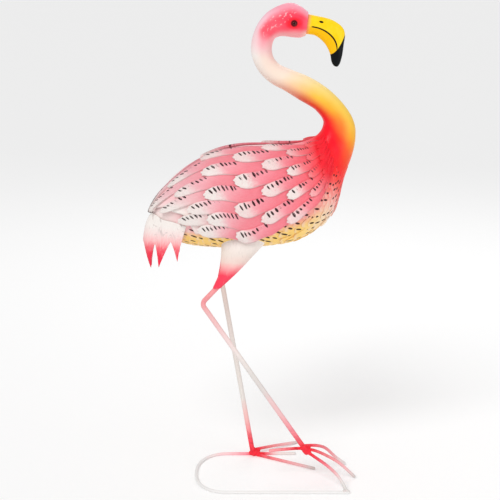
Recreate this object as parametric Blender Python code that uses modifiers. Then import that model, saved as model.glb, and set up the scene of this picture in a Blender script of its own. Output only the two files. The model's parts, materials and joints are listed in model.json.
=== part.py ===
"""Garden flamingo in painted sheet metal, standing on bent steel rods.

Run with: blender --background --python part.py
Metres, +Z up. The bird looks along +X, its right side is -Y, and it stands on Z = 0.

The figure is laid out on a drawing that is 900 mm tall. Every figure point below is in
millimetres on that drawing, and FIGURE_HEIGHT scales the drawing to the real bird.
Rod diameters, sheet thicknesses and gaps are real sizes and don't scale with the figure.
"""

import math

import bmesh
import bpy
import numpy as np
from mathutils import Vector

# Driving sizes, in metres
FIGURE_HEIGHT = 0.900
LEG_DIAMETER = 0.0095
TOE_DIAMETER = 0.006
RAIL_DIAMETER = 0.006
SHEET = 0.0018
TAIL_SHEET = 0.0016
EYE_DIAMETER = 0.0105
EYE_SINK = 0.0004
FEATHER_LIFT = 0.0052
FEATHER_COVER = 0.0006
FEATHER_CROWN = 0.0016
WING_REAR_FLARE = 0.0055
WING_LOWER_FLARE = 0.0040
LEG_SOCKET = 0.009
THIGH_WALL = 0.0030
BEAK_STEP = 0.0034
KNEE_RADIUS = 0.011
GROUND_FLAT = 0.0003
WELD_GAP = 0.0003
CUTTER_GAP = 0.0005
SKIN_CLEARANCE = 0.0015
GROUND_DEPTH = 0.1

# The drawing
DRAWING_HEIGHT = 900.0
UNIT = FIGURE_HEIGHT / DRAWING_HEIGHT
RIGHT = -1
LEFT = 1

# Body stations from the rump over the chest and up the neck to the beak. Each pairs a point
# on the back line with one on the belly line, and gives the half width between them:
# (back x, back z, belly x, belly z, half width)
BODY_STATIONS = (
    (-184, 506, -176, 484, 8),
    (-170, 537, -152, 463, 28),
    (-139, 572, -114, 452, 45),
    (-100.5, 604, -81, 448, 57),
    (-59, 626, -47, 446.5, 64),
    (-18, 636.5, -14, 446.5, 68),
    (24, 639, 22, 448.5, 70),
    (62, 639.5, 60, 454.5, 69),
    (92, 643, 98.5, 467.5, 65),
    (112, 650, 131.5, 488.5, 58),
    (124, 657.5, 153, 513, 51),
    (131, 665.5, 165.5, 544, 44),
    (134.5, 674, 175.5, 580, 37),
    (135.5, 682.5, 188.5, 617, 31),
    (133, 689.5, 195, 648, 28),
    (128, 696.5, 193, 680, 27),
    (116, 708.4, 176, 710.5, 26.5),
    (92, 722.3, 147, 740.5, 25.5),
    (64, 740, 112, 763.5, 24),
    (36, 755.5, 77, 778, 22.5),
    (15, 777, 54.5, 788, 21),
    (4.5, 799.5, 43, 801.5, 20),
    (1.8, 816, 40, 815, 19.5),
    (4, 836, 41.5, 827, 20),
    (13, 860, 47, 836.5, 22),
    (30, 881.5, 60, 839.5, 24),
    (52, 894.5, 72, 838, 25),
    (74, 900, 82, 837, 24.5),
    (93, 893, 92, 837, 21.5),
    (106, 882.5, 101, 840, 17),
)
CHEST = 9.0
NECK_ROOT = 13.0
LAST_STATION = len(BODY_STATIONS) - 1
SHOULDER_BULGE = 0.10
RUMP_POLE = 4.0
RUMP_SLOPE_STEP = 0.3
RINGS_PER_STATION = 1.75
RING_SIDES = 18
SKIN_STEP = 0.02
SMOOTH_ANGLE = 40.0

# Beak stations after the one at the face, out to the tip: (top x, top z, lower x, lower z,
# half width). The face itself gives the first one.
BEAK_STATIONS = (
    (127, 875, 117, 841, 12.5),
    (145, 870.5, 127.5, 834.5, 11.5),
    (160, 862.5, 136, 826, 10.5),
    (169.5, 853, 142.5, 815.5, 9.5),
    (172.8, 841, 146.5, 805, 8.5),
    (171, 826, 148, 796, 7.5),
    (168.5, 806, 150, 790, 6.5),
    (165, 792, 153.5, 785.5, 4.6),
    (162, 786, 157.5, 783.8, 2.0),
)
BEAK_SIDES = 16
BEAK_RINGS_PER_STATION = 2

# Eyes: flattened beads on the side of the head, which lies between these stations and turns
EYE_PLACE = (79.5, 864.5)
EYE_FLATTENING = 0.8
EYE_SEGMENTS = 12
EYE_RINGS = 8
CHEEK_STATIONS = (25.0, 29.0)
CHEEK_TURNS = (60, 120)
CHEEK_STEPS = 600
CHEEK_TURN_STEP = 5

# Feathers stand in columns across each wing, tips to the rear, and every other column is
# half a feather out of step. The stations of the tips, front to rear:
FEATHER_TIPS = (9.6, 8.4, 7.15, 5.95, 4.7, 3.3, 1.65, 0.1)
FEATHERS_ACROSS = 4
FEATHER_STEPS_ACROSS = 4
FEATHER_OFFSET = 0.1875
FEATHER_TIP_DEPTH = 0.5
FEATHER_STEP = 0.03
INNER_STEP = 2
REAR_FLARE_END = 4.6
SLANT_START = 3.3
SLANT_RUN = 2.8

# Wing outline in body stations and degrees from the back line
WING_TOP = ((0.0, 5.0), (3.0, 9.0), (5.0, 15.0), (7.0, 14.0), (9.0, 24.0), (11.0, 34.0))
WING_BOTTOM = ((1.6, 120.0), (3.8, 131.0), (5.3, 141.0), (6.3, 133.0), (7.2, 123.0), (8.4, 113.0), (11.0, 101.0))
WING_FRONT = ((15.0, 9.8), (40.0, 10.3), (75.0, 10.9), (110.0, 10.9))
WING_FADE = 2.0
TOP_FADE = 0.22
REAR_SLANT = ((5.0, 0.0), (45.0, 0.35), (75.0, 1.1), (100.0, 1.8), (130.0, 2.1))
LOWER_SCALLOP = 4.0
LOWER_FLARE_DEPTH = 0.2
REAR_FLARE_TURN = 30.0
TOP_RELIEF = 0.25
FRONT_SHEET = 0.3

# The room round a wing, as a plain grid with a margin in degrees past the lower edge
ROOM_STEPS_ALONG = 22
ROOM_STEPS_ACROSS = 12
ROOM_MARGIN = 1.0

# Tail: a sheet folded round the rump, in three points a side. Its upper rim follows the
# skin, as (station, turn in degrees), and its lower rim hangs free, as plan points on the
# drawing. Both run from the fold at the rear to the front.
TAIL_UPPER_RIM = ((0.08, 6.0), (0.4, 52.0), (0.9, 85.0), (1.5, 100.0), (2.15, 113.0))
TAIL_LOWER_RIM = ((-201, 0, 459), (-195, 12, 457), (-174.6, 23, 456), (-147.6, 33, 462), (-127.5, 38, 461))
TAIL_SPIKES = ((0.27, 50, 7), (0.60, 46, -7), (0.87, 37, 2))
TAIL_NOTCHES = (0.0, 0.47, 0.75, 1.0)
TAIL_SPLAY = 5.0
TAIL_STEPS_DOWN = 6
TAIL_STEPS_PER_HALF_SPIKE = 2

# Thighs: elliptical cones, (x, y, z, half length, half width) from inside the belly down to
# the shin, whose own place ends the list
THIGH_STATIONS = (
    (-6, 21, 490, 54, 20),
    (-11, 25, 463, 43, 20),
    (-22.5, 30, 438, 31.5, 17.5),
    (-39.5, 33, 405, 17.5, 12),
)
THIGH_SIDES = 20
THIGH_STEPS = 12

# Legs, on the drawing
RIGHT_HIP = (-62, -34, 374)
RIGHT_KNEE = (-91, -39, 344.5)
RIGHT_ANKLE = (108.7, -53, 54)
LEFT_HIP = (-55, 32, 374)
LEFT_ANKLE = (6.5, 65, 0)

# Toes: routes on the drawing from the ankle to the tip. A height of 0 lies on the ground.
RIGHT_FOOT = {
    "right_middle_toe": ((105, -53, 59), (122, -53.5, 57), (144.5, -54, 47.5), (172, -55, 31), (202, -56, 0)),
    "right_inner_toe": ((100.5, -53, 66), (126.5, -40, 61.5), (146, -26, 50.5), (167, -8, 25), (187, 12, 0)),
    "right_outer_toe": ((107.5, -53, 55), (124.5, -66, 47.5), (146.5, -85, 38), (164.5, -102, 26), (175.5, -117, 13), (181, -129, 0)),
    "right_hind_toe": ((103.5, -53, 61), (78, -51, 59), (36, -46, 53)),
}
LEFT_FOOT = {
    "left_middle_toe": ((6.5, 65, 0), (92, 67, 0)),
    "left_inner_toe": ((6.5, 65, 0), (127, -13, 0)),
    "left_outer_toe": ((5, 65, 11), (50, 95, 8), (99, 129, 0)),
}

# Rail: the wire loop on the ground, from the left ankle round the rear to the tip of the
# right foot's outer toe. A fullness of 1 makes its rear bend half an ellipse.
RAIL_REAR = -104.0
RAIL_RIGHT_SIDE = -129.0
RAIL_END = 187.0
RAIL_BEND = 64.0
RAIL_FULLNESS = 1.15
RAIL_BEND_STEPS = 20
LEG_RESOLUTION = 4
WIRE_RESOLUTION = 2
MERGE_SHARE = 0.005

# Paint: base colour, roughness, metallic
PAINTS = {
    "feather_pink": ((0.95, 0.33, 0.38), 0.38, 0.0),
    "beak_yellow": ((0.98, 0.68, 0.02), 0.32, 0.0),
    "leg_pink": ((0.93, 0.45, 0.44), 0.38, 0.0),
    "rail_white": ((0.86, 0.84, 0.80), 0.42, 0.0),
    "eye_black": ((0.03, 0.01, 0.01), 0.08, 0.0),
}


def clear_scene():
    for item in list(bpy.data.objects):
        bpy.data.objects.remove(item)


def new_collection(name):
    made = bpy.data.collections.new(name)
    bpy.context.scene.collection.children.link(made)
    return made


def paint(name):
    """The named paint as a Principled material, made once."""
    found = bpy.data.materials.get(name)
    if found:
        return found
    colour, roughness, metallic = PAINTS[name]
    made = bpy.data.materials.new(name)
    made.use_nodes = True
    shader = made.node_tree.nodes["Principled BSDF"]
    shader.inputs["Base Color"].default_value = (*colour, 1)
    shader.inputs["Roughness"].default_value = roughness
    shader.inputs["Metallic"].default_value = metallic
    made.diffuse_color = (*colour, 1)
    return made


# Curves and tables


def spline_point(rows, place):
    """The Catmull-Rom curve through rows, at place from 0 to len(rows) - 1."""
    rows = np.asarray(rows, float)
    last = len(rows) - 1
    place = min(max(place, 0.0), last - 1e-9)
    step = int(place)
    along = place - step
    before = rows[step - 1] if step else 2 * rows[0] - rows[1]
    start, end = rows[step], rows[step + 1]
    after = rows[step + 2] if step + 2 <= last else 2 * rows[last] - rows[last - 1]
    return 0.5 * (
        2 * start
        + (end - before) * along
        + (2 * before - 5 * start + 4 * end - after) * along**2
        + (3 * start - before - 3 * end + after) * along**3
    )


def look_up(table, place):
    """The table's value at place, eased between its rows."""
    places = [row[0] for row in table]
    values = [row[1] for row in table]
    if place <= places[0]:
        return values[0]
    for index in range(1, len(places)):
        if place <= places[index]:
            share = (place - places[index - 1]) / (places[index] - places[index - 1])
            eased = share * share * (3 - 2 * share)
            return values[index - 1] + (values[index] - values[index - 1]) * eased
    return values[-1]


def ease(value):
    """0 to 1 with soft ends."""
    value = min(max(value, 0.0), 1.0)
    return value * value * (3 - 2 * value)


# The body's skin, which the wings, tail, eyes and thighs all follow


def skin_point(place, turn, side=RIGHT):
    """A point on the body: place runs along the stations, turn is in radians from the back line."""
    back_x, back_z, belly_x, belly_z, half_width = spline_point(BODY_STATIONS, place)
    bulge = SHOULDER_BULGE * ease((NECK_ROOT - place) / (NECK_ROOT - CHEST))
    reach = math.cos(turn) + bulge * math.sin(turn) ** 2
    x = (back_x + belly_x) / 2 + (back_x - belly_x) / 2 * reach
    z = (back_z + belly_z) / 2 + (back_z - belly_z) / 2 * reach
    return Vector((x, side * half_width * math.sin(turn), z)) * UNIT


def skin_normal(place, turn, side=RIGHT):
    """The skin's outward direction."""
    low, high = max(place - SKIN_STEP, 0.0), min(place + SKIN_STEP, LAST_STATION)
    along = skin_point(high, turn, side) - skin_point(low, turn, side)
    across = skin_point(place, turn + SKIN_STEP, side) - skin_point(place, turn - SKIN_STEP, side)
    normal = along.cross(across).normalized()
    return normal * side


def raised_skin(place, turn, height, side=RIGHT):
    return skin_point(place, turn, side) + skin_normal(place, turn, side) * height


# Meshes


def mesh_object(name, mesh, collection, material=None):
    made = bpy.data.objects.new(name, mesh)
    collection.objects.link(made)
    if material:
        mesh.materials.append(paint(material))
    return made


def finish_mesh(shell, name):
    """Turns a bmesh into a mesh whose faces point outwards."""
    bmesh.ops.recalc_face_normals(shell, faces=shell.faces)
    mesh = bpy.data.meshes.new(name)
    shell.to_mesh(mesh)
    shell.free()
    mesh.shade_smooth()
    mesh.set_sharp_from_angle(angle=math.radians(SMOOTH_ANGLE))
    return mesh


def loft(rings, name, start_pole=None):
    """A closed body through rings of equal length: flat at its end, flat or drawn to a pole at its start."""
    shell = bmesh.new()
    rows = [[shell.verts.new(point) for point in ring] for ring in rings]
    count = len(rows[0])
    for row, following in zip(rows, rows[1:]):
        for index in range(count):
            after = (index + 1) % count
            shell.faces.new((row[index], row[after], following[after], following[index]))
    if start_pole is None:
        shell.faces.new(rows[0])
    else:
        pole = shell.verts.new(start_pole)
        for index in range(count):
            shell.faces.new((pole, rows[0][(index + 1) % count], rows[0][index]))
    shell.faces.new(rows[-1])
    return finish_mesh(shell, name)


def grid_rim(long_count, across_count):
    """The places round the edge of a grid, in order."""
    rim = [(i, 0) for i in range(long_count)]
    rim += [(long_count - 1, j) for j in range(1, across_count)]
    rim += [(i, across_count - 1) for i in range(long_count - 2, -1, -1)]
    rim += [(0, j) for j in range(across_count - 2, 0, -1)]
    return rim + rim[:1]


def sheet(outer, inner, name):
    """A closed sheet from two grids of points. The inner grid may have fewer rows."""
    shell = bmesh.new()
    faces = [[[shell.verts.new(point) for point in row] for row in grid] for grid in (outer, inner)]
    for grid in faces:
        for row, following in zip(grid, grid[1:]):
            for j in range(len(row) - 1):
                shell.faces.new((row[j], following[j], following[j + 1], row[j + 1]))
    stride = (len(outer) - 1) // (len(inner) - 1)
    across_count = len(outer[0])
    rim = grid_rim(len(inner), across_count)
    for (i, j), (k, m) in zip(rim, rim[1:]):
        start, end = faces[1][i][j], faces[1][k][m]
        steps = abs(k - i) * stride + abs(m - j)
        route = [
            faces[0][i * stride + (k - i) * stride * step // steps][j + (m - j) * step // steps]
            for step in range(steps + 1)
        ]
        for first, second in zip(route, route[1:]):
            shell.faces.new((start, first, second))
        shell.faces.new((start, route[-1], end))
    return finish_mesh(shell, name)


def rod(name, route, diameter, collection, material=None):
    """A round rod along route, in metres, as a closed mesh object."""
    resolution = LEG_RESOLUTION if diameter > (LEG_DIAMETER + TOE_DIAMETER) / 2 else WIRE_RESOLUTION
    curve = bpy.data.curves.new(name, "CURVE")
    curve.dimensions = "3D"
    curve.bevel_depth = diameter / 2
    curve.bevel_resolution = resolution
    curve.use_fill_caps = True
    spline = curve.splines.new("POLY")
    spline.points.add(len(route) - 1)
    for point, place in zip(spline.points, route):
        point.co = (*place, 1)
    wire = bpy.data.objects.new(name + "_wire", curve)
    bpy.context.scene.collection.objects.link(wire)
    evaluated = wire.evaluated_get(bpy.context.evaluated_depsgraph_get())
    mesh = bpy.data.meshes.new_from_object(evaluated)
    matrix = wire.matrix_world.copy()
    bpy.data.objects.remove(wire)
    shell = bmesh.new()
    shell.from_mesh(mesh)
    bmesh.ops.remove_doubles(shell, verts=shell.verts, dist=diameter * MERGE_SHARE)
    made = mesh_object(name, finish_mesh(shell, name), collection, material)
    made.matrix_world = matrix
    return made


def cut(piece, *cutters):
    """Takes the cutters out of the piece."""
    for cutter in cutters:
        modifier = piece.modifiers.new("cut_" + cutter.name, "BOOLEAN")
        modifier.operation = "DIFFERENCE"
        modifier.solver = "EXACT"
        modifier.object = cutter


def hide_cutters(collection):
    for item in collection.objects:
        item.hide_render = True
        item.display_type = "WIRE"


# Body


def body_places():
    count = round(LAST_STATION * RINGS_PER_STATION)
    return [LAST_STATION * index / count for index in range(count + 1)]


def body_ring(place, height=0.0):
    """One ring round the body: down the right side and up the left side."""
    ring = []
    for index in range(RING_SIDES):
        turn = 2 * math.pi * index / RING_SIDES
        side, way = (RIGHT, turn) if turn <= math.pi else (LEFT, 2 * math.pi - turn)
        ring.append(raised_skin(place, way, height, side) if height else skin_point(place, way, side))
    return ring


def rump_pole(height=0.0):
    first, second = (spline_point(BODY_STATIONS, place) for place in (0.0, RUMP_SLOPE_STEP))
    centre = Vector(((first[0] + first[2]) / 2, 0, (first[1] + first[3]) / 2)) * UNIT
    ahead = Vector(((second[0] + second[2]) / 2, 0, (second[1] + second[3]) / 2)) * UNIT
    return centre + (centre - ahead).normalized() * (RUMP_POLE * UNIT + height)


def make_body(collection):
    mesh = loft([body_ring(place) for place in body_places()], "body", rump_pole())
    return mesh_object("body", mesh, collection, "feather_pink")


def make_grown_body(cutters):
    """The body with a gap all round, to cut what is welded on to it."""
    rings = [body_ring(place, CUTTER_GAP) for place in body_places()]
    return mesh_object("grown_body", loft(rings, "grown_body", rump_pole(CUTTER_GAP)), cutters)


# Wings


def wing_turn(place, across):
    """The turn in degrees at a share of the way from a wing's top edge to its lower edge."""
    top = look_up(WING_TOP, place)
    return top + (look_up(WING_BOTTOM, place) - top) * across


def settle(find_place, across, start):
    """The station on a line whose station depends on its own turn."""
    place = start
    for _ in range(5):
        place = find_place(wing_turn(place, across))
    return place


def feather_phase(column, across):
    """-1 to 1 across the feather that lies at this share of the wing's depth."""
    offset = FEATHER_OFFSET - column % 2 * 0.5 / FEATHERS_ACROSS
    phase = (across - offset) * FEATHERS_ACROSS
    return 2 * (phase - round(phase))


def column_end(column, across):
    """The station where a column's feathers end, round at each tip and leaning at the rear."""
    tip = FEATHER_TIPS[column]
    rounded = tip + FEATHER_TIP_DEPTH * feather_phase(column, across) ** 2
    lean = min(max((SLANT_START - tip) / SLANT_RUN, 0.0), 1.0)
    return settle(lambda degrees: rounded + lean * look_up(REAR_SLANT, degrees), across, rounded)


def wing_line(across):
    """Points from front to rear at one share of the wing's depth: (station, degrees, relief)."""
    front = settle(lambda degrees: look_up(WING_FRONT, degrees), across, CHEST)
    line = [(front, wing_turn(front, across), 0.0)]
    before = front
    last = len(FEATHER_TIPS) - 1
    for column in range(last + 1):
        end = column_end(column, across)
        crown = FEATHER_CROWN * (1 - feather_phase(column, across) ** 2)
        high = crown + (FEATHER_LIFT if column < last else FEATHER_COVER)
        middle = (before + end) / 2
        scallop = LOWER_SCALLOP if across == 1 else 0.0
        line.append((middle, wing_turn(middle, across) + scallop, (FEATHER_COVER + high) / 2))
        line.append((end, wing_turn(end, across), high))
        if column < last:
            before = end - FEATHER_STEP
            line.append((before, wing_turn(before, across), FEATHER_COVER))
    return line


def wing_lift(place, degrees, across):
    """How far a wing's inner face stands off the skin."""
    rear = WING_REAR_FLARE * ease(1 - place / REAR_FLARE_END) * ease(degrees / REAR_FLARE_TURN)
    hanging = ease((across - 1) / LOWER_FLARE_DEPTH + 1)
    lower = WING_LOWER_FLARE * hanging * ease(WING_FRONT[0][1] - place)
    return SKIN_CLEARANCE + max(rear, lower)


def wing_grids(side):
    """The wing's outer and inner faces, as rows from front to rear."""
    steps = FEATHERS_ACROSS * FEATHER_STEPS_ACROSS
    outer, inner = [], []
    for index in range(steps + 1):
        across = index / steps
        outer_line, inner_line = [], []
        line = wing_line(across)
        for place, degrees, relief in line:
            fade = ease((line[0][0] - place) / WING_FADE)
            lift = wing_lift(place, degrees, across)
            relief *= fade * (TOP_RELIEF + (1 - TOP_RELIEF) * ease(across / TOP_FADE))
            height = lift + SHEET * (FRONT_SHEET + (1 - FRONT_SHEET) * fade) + relief
            turn = math.radians(degrees)
            outer_line.append(raised_skin(place, turn, height, side))
            inner_line.append(raised_skin(place, turn, lift, side))
        outer.append(outer_line)
        inner.append(inner_line)
    return outer, inner[::INNER_STEP]


def make_wing(name, side, collection):
    outer, inner = wing_grids(side)
    return mesh_object(name, sheet(outer, inner, name), collection, "feather_pink")


def make_wing_space(name, side, under, cutters):
    """The room that a wing fills, with a gap all round, to cut what comes up to it."""
    highest = SHEET + FEATHER_LIFT + FEATHER_CROWN + 2 * WELD_GAP
    outer, inner = [], []
    for i in range(ROOM_STEPS_ACROSS + 1):
        across = i / ROOM_STEPS_ACROSS
        line = wing_line(across)
        front, rear = line[0][0], line[-1][0] - FEATHER_STEP
        outer_line, inner_line = [], []
        for j in range(ROOM_STEPS_ALONG + 1):
            place = front + (rear - front) * j / ROOM_STEPS_ALONG
            degrees = wing_turn(place, across)
            if i == ROOM_STEPS_ACROSS:
                degrees += LOWER_SCALLOP + ROOM_MARGIN
            lift = wing_lift(place, degrees, across)
            low = lift - WELD_GAP if under else -SHEET
            outer_line.append(raised_skin(place, math.radians(degrees), lift + highest, side))
            inner_line.append(raised_skin(place, math.radians(degrees), low, side))
        outer.append(outer_line)
        inner.append(inner_line)
    return mesh_object(name, sheet(outer, inner, name), cutters)


# Tail


def tail_point_end(share):
    """How far the tail hangs below its lower rim at a share from the fold, and which way it leans."""
    for index, (tip, length, lean) in enumerate(TAIL_SPIKES):
        before, after = TAIL_NOTCHES[index], TAIL_NOTCHES[index + 1]
        if before <= share <= after:
            rising = (share - before) / (tip - before) if share <= tip else (after - share) / (after - tip)
            return length * rising, lean / length
    return 0.0, 0.0


def tail_shares():
    """Shares from the fold to the front edge that meet every notch and every tip."""
    corners = [TAIL_NOTCHES[0]]
    for (tip, _, _), notch in zip(TAIL_SPIKES, TAIL_NOTCHES[1:]):
        corners += [tip, notch]
    shares = []
    for start, end in zip(corners, corners[1:]):
        for step in range(TAIL_STEPS_PER_HALF_SPIKE):
            shares.append(start + (end - start) * step / TAIL_STEPS_PER_HALF_SPIKE)
    return shares + [corners[-1]]


def tail_column(share, side):
    """Points down the tail at one share from its fold."""
    place, degrees = spline_point(TAIL_UPPER_RIM, share * (len(TAIL_UPPER_RIM) - 1))
    upper = raised_skin(place, math.radians(degrees), WELD_GAP + TAIL_SHEET, side) / UNIT
    lower = Vector(spline_point(TAIL_LOWER_RIM, share * (len(TAIL_LOWER_RIM) - 1)))
    lower.y *= side
    if share == 0:
        upper.y = lower.y = 0
    hang, lean = tail_point_end(share)
    splay = TAIL_SPLAY * side / TAIL_SPIKES[0][1] if share < TAIL_NOTCHES[1] else 0
    drop = upper.z - lower.z
    points = []
    for step in range(TAIL_STEPS_DOWN + 1):
        down = (drop + hang) * step / TAIL_STEPS_DOWN
        below = max(down - drop, 0.0)
        point = upper.lerp(lower, min(down / drop, 1.0))
        point += Vector((below * (lean - splay), 0, -below))
        points.append(point * UNIT)
    return points


def make_tail(collection, cutters):
    shares = tail_shares()
    columns = [tail_column(share, RIGHT) for share in reversed(shares)]
    columns += [tail_column(share, LEFT) for share in shares[1:]]
    shell = bmesh.new()
    rows = [[shell.verts.new(point) for point in column] for column in columns]
    for left, right in zip(rows, rows[1:]):
        for step in range(TAIL_STEPS_DOWN):
            shell.faces.new((left[step], left[step + 1], right[step + 1], right[step]))
    tail = mesh_object("tail", finish_mesh(shell, "tail"), collection, "feather_pink")
    wall = tail.modifiers.new("sheet", "SOLIDIFY")
    wall.thickness = TAIL_SHEET
    wall.offset = 0
    cut(tail, *cutters)
    return tail


# Head


def make_beak(collection):
    """A curved horn that steps in from the face and sits against it."""
    top_x, top_z, low_x, low_z, half_width = BODY_STATIONS[-1]
    down_face = Vector((low_x - top_x, 0, low_z - top_z)).normalized()
    out_of_face = Vector((-down_face.z, 0, down_face.x))
    gap = out_of_face * WELD_GAP
    step = BEAK_STEP / UNIT
    top = Vector((top_x, 0, top_z)) + down_face * step
    low = Vector((low_x, 0, low_z)) - down_face * step
    stations = [(top.x, top.z, low.x, low.z, half_width - step), *BEAK_STATIONS]
    last = len(stations) - 1
    rings = []
    for index in range(last * BEAK_RINGS_PER_STATION + 1):
        place = index / BEAK_RINGS_PER_STATION
        top_x, top_z, low_x, low_z, half_width = spline_point(stations, place)
        ring = []
        for corner in range(BEAK_SIDES):
            turn = 2 * math.pi * corner / BEAK_SIDES
            reach = math.cos(turn)
            x = (top_x + low_x) / 2 + (top_x - low_x) / 2 * reach
            z = (top_z + low_z) / 2 + (top_z - low_z) / 2 * reach
            ring.append(Vector((x, -half_width * math.sin(turn), z)) * UNIT + gap)
        rings.append(ring)
    return mesh_object("beak", loft(rings, "beak"), collection, "beak_yellow")


def make_eye(name, side, collection, grown_body):
    """A glass bead set in the side of the head."""
    x, z = (value * UNIT for value in EYE_PLACE)
    face = head_half_width(x, z)
    centre = Vector((x, side * (face - EYE_SINK), z))
    shell = bmesh.new()
    radius = EYE_DIAMETER / 2
    bmesh.ops.create_uvsphere(shell, u_segments=EYE_SEGMENTS, v_segments=EYE_RINGS, radius=radius)
    for vertex in shell.verts:
        vertex.co = centre + Vector((vertex.co.x, vertex.co.z * EYE_FLATTENING, vertex.co.y))
    eye = mesh_object(name, finish_mesh(shell, name), collection, "eye_black")
    cut(eye, grown_body)
    return eye


def head_half_width(x, z):
    """How far the head's side stands out at a point of its profile."""
    best = None
    first, last = CHEEK_STATIONS
    for step in range(CHEEK_STEPS):
        place = first + (last - first) * step / CHEEK_STEPS
        for turn in range(CHEEK_TURNS[0], CHEEK_TURNS[1] + 1, CHEEK_TURN_STEP):
            point = skin_point(place, math.radians(turn), LEFT)
            miss = math.hypot(point.x - x, point.z - z)
            if best is None or miss < best[0]:
                best = (miss, point.y)
    return best[1]


# Legs and feet


def figure(point):
    """A drawing point in metres."""
    return Vector(point) * UNIT


def ground_height(diameter):
    """The height of a rod's centre line when it lies on the ground on its small flat."""
    return diameter / 2 - GROUND_FLAT


def bent_route(start, corner, end, radius, steps=6):
    """A route that turns at corner through an arc of the given radius."""
    before, after = (start - corner).normalized(), (end - corner).normalized()
    half = before.angle(after) / 2
    middle = corner + (before + after).normalized() * (radius / math.sin(half))
    sideways = (corner - middle).normalized()
    along = (after - before).normalized()
    sweep = math.pi / 2 - half
    arc = []
    for step in range(steps + 1):
        turn = sweep * (2 * step / steps - 1)
        arc.append(middle + (sideways * math.cos(turn) + along * math.sin(turn)) * radius)
    return [start, *arc, end]


def right_leg_route(extra=0.0):
    hip, knee, ankle = figure(RIGHT_HIP), figure(RIGHT_KNEE), figure(RIGHT_ANKLE)
    top = hip + (hip - knee).normalized() * (LEG_SOCKET + extra)
    foot = ankle + (ankle - knee).normalized() * extra
    return bent_route(top, knee, foot, KNEE_RADIUS)


def left_leg_route(extra=0.0):
    hip, ankle = figure(LEFT_HIP), figure(LEFT_ANKLE)
    way = (hip - ankle).normalized()
    return [hip + way * (LEG_SOCKET + extra), ankle - way * LEG_DIAMETER]


def make_thigh(name, side, hip, collection, cutters):
    """A sheet-metal cone from the belly to the top of the shin rod."""
    hip = figure(hip)
    low_radius = LEG_DIAMETER / 2 + THIGH_WALL
    stations = [[value * UNIT for value in (x, side * y, *rest)] for x, y, *rest in THIGH_STATIONS]
    stations.append([*hip, low_radius, low_radius])
    rings = []
    for step in range(THIGH_STEPS + 1):
        x, y, z, half_length, half_width = spline_point(stations, len(THIGH_STATIONS) * step / THIGH_STEPS)
        ring = []
        for index in range(THIGH_SIDES):
            turn = 2 * math.pi * index / THIGH_SIDES
            ring.append(Vector((x + half_length * math.cos(turn), y + half_width * math.sin(turn), z)))
        rings.append(ring)
    thigh = mesh_object(name, loft(rings, name), collection, "leg_pink")
    cut(thigh, *cutters)
    return thigh


def on_ground(route, diameter):
    """Drawing points in metres, with those at height 0 laid on the ground."""
    low = ground_height(diameter)
    return [Vector((point[0] * UNIT, point[1] * UNIT, max(point[2] * UNIT, low))) for point in route]


def toe_route(points):
    """A smooth route through a toe's points."""
    placed = on_ground(points, TOE_DIAMETER)
    if len(placed) == 2:
        return placed
    steps = 2 * (len(placed) - 1)
    return [Vector(spline_point(placed, (len(placed) - 1) * step / steps)) for step in range(steps + 1)]


def make_foot(toes, leg_cutter, middle_name, collection, cutters, others):
    """Toes coped round the leg and, but for the middle one, round the middle toe."""
    gap_diameter = TOE_DIAMETER + 2 * WELD_GAP
    middle_cutter = rod("grown_" + middle_name, toe_route(toes[middle_name]), gap_diameter, cutters)
    made = []
    for name, points in toes.items():
        toe = rod(name, toe_route(points), TOE_DIAMETER, collection, "leg_pink")
        tools = [leg_cutter, *others]
        if name != middle_name and "hind" not in name:
            tools.append(middle_cutter)
        cut(toe, *tools)
        made.append(toe)
    return made


def rail_route():
    """From the left ankle back along the ground, round the rear and forward on the right side."""
    low = ground_height(RAIL_DIAMETER)
    left_y, right_y = LEFT_ANKLE[1], RAIL_RIGHT_SIDE
    points = [(LEFT_ANKLE[0], left_y)]
    centre_x, centre_y = RAIL_REAR + RAIL_BEND, (left_y + right_y) / 2
    half_spread = (left_y - right_y) / 2
    for step in range(RAIL_BEND_STEPS + 1):
        turn = math.pi * step / RAIL_BEND_STEPS
        back = math.sin(turn) ** (1 / RAIL_FULLNESS)
        across = math.copysign(abs(math.cos(turn)) ** (1 / RAIL_FULLNESS), math.cos(turn))
        points.append((centre_x - RAIL_BEND * back, centre_y + half_spread * across))
    points.append((RAIL_END, right_y))
    return [Vector((x * UNIT, y * UNIT, low)) for x, y in points]


def make_ground(cutters):
    """Everything under Z = 0, to give each rod end a small flat."""
    shell = bmesh.new()
    bmesh.ops.create_cube(shell, size=1.0)
    for vertex in shell.verts:
        vertex.co.z = 0.0 if vertex.co.z > 0 else -GROUND_DEPTH
    return mesh_object("ground", finish_mesh(shell, "ground"), cutters)


def make_legs_and_feet(collection, cutters, grown_body, wing_rooms):
    ground = make_ground(cutters)
    grown_leg = LEG_DIAMETER + 2 * WELD_GAP
    right_cutter = rod("grown_right_leg", right_leg_route(WELD_GAP), grown_leg, cutters)
    left_cutter = rod("grown_left_leg", left_leg_route(WELD_GAP), grown_leg, cutters)
    rail_cutter = rod("grown_rail", rail_route(), RAIL_DIAMETER + 2 * WELD_GAP, cutters)

    make_thigh("right_thigh", RIGHT, RIGHT_HIP, collection, [right_cutter, grown_body, wing_rooms[0]])
    make_thigh("left_thigh", LEFT, LEFT_HIP, collection, [left_cutter, grown_body, wing_rooms[1]])
    rod("right_leg", right_leg_route(), LEG_DIAMETER, collection, "leg_pink")
    left_leg = rod("left_leg", left_leg_route(), LEG_DIAMETER, collection, "leg_pink")
    cut(left_leg, ground)

    make_foot(RIGHT_FOOT, right_cutter, "right_middle_toe", collection, cutters, [rail_cutter, ground])
    make_foot(LEFT_FOOT, left_cutter, "left_middle_toe", collection, cutters, [ground])
    rail = rod("rail", rail_route(), RAIL_DIAMETER, collection, "rail_white")
    cut(rail, left_cutter, ground)


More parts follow.
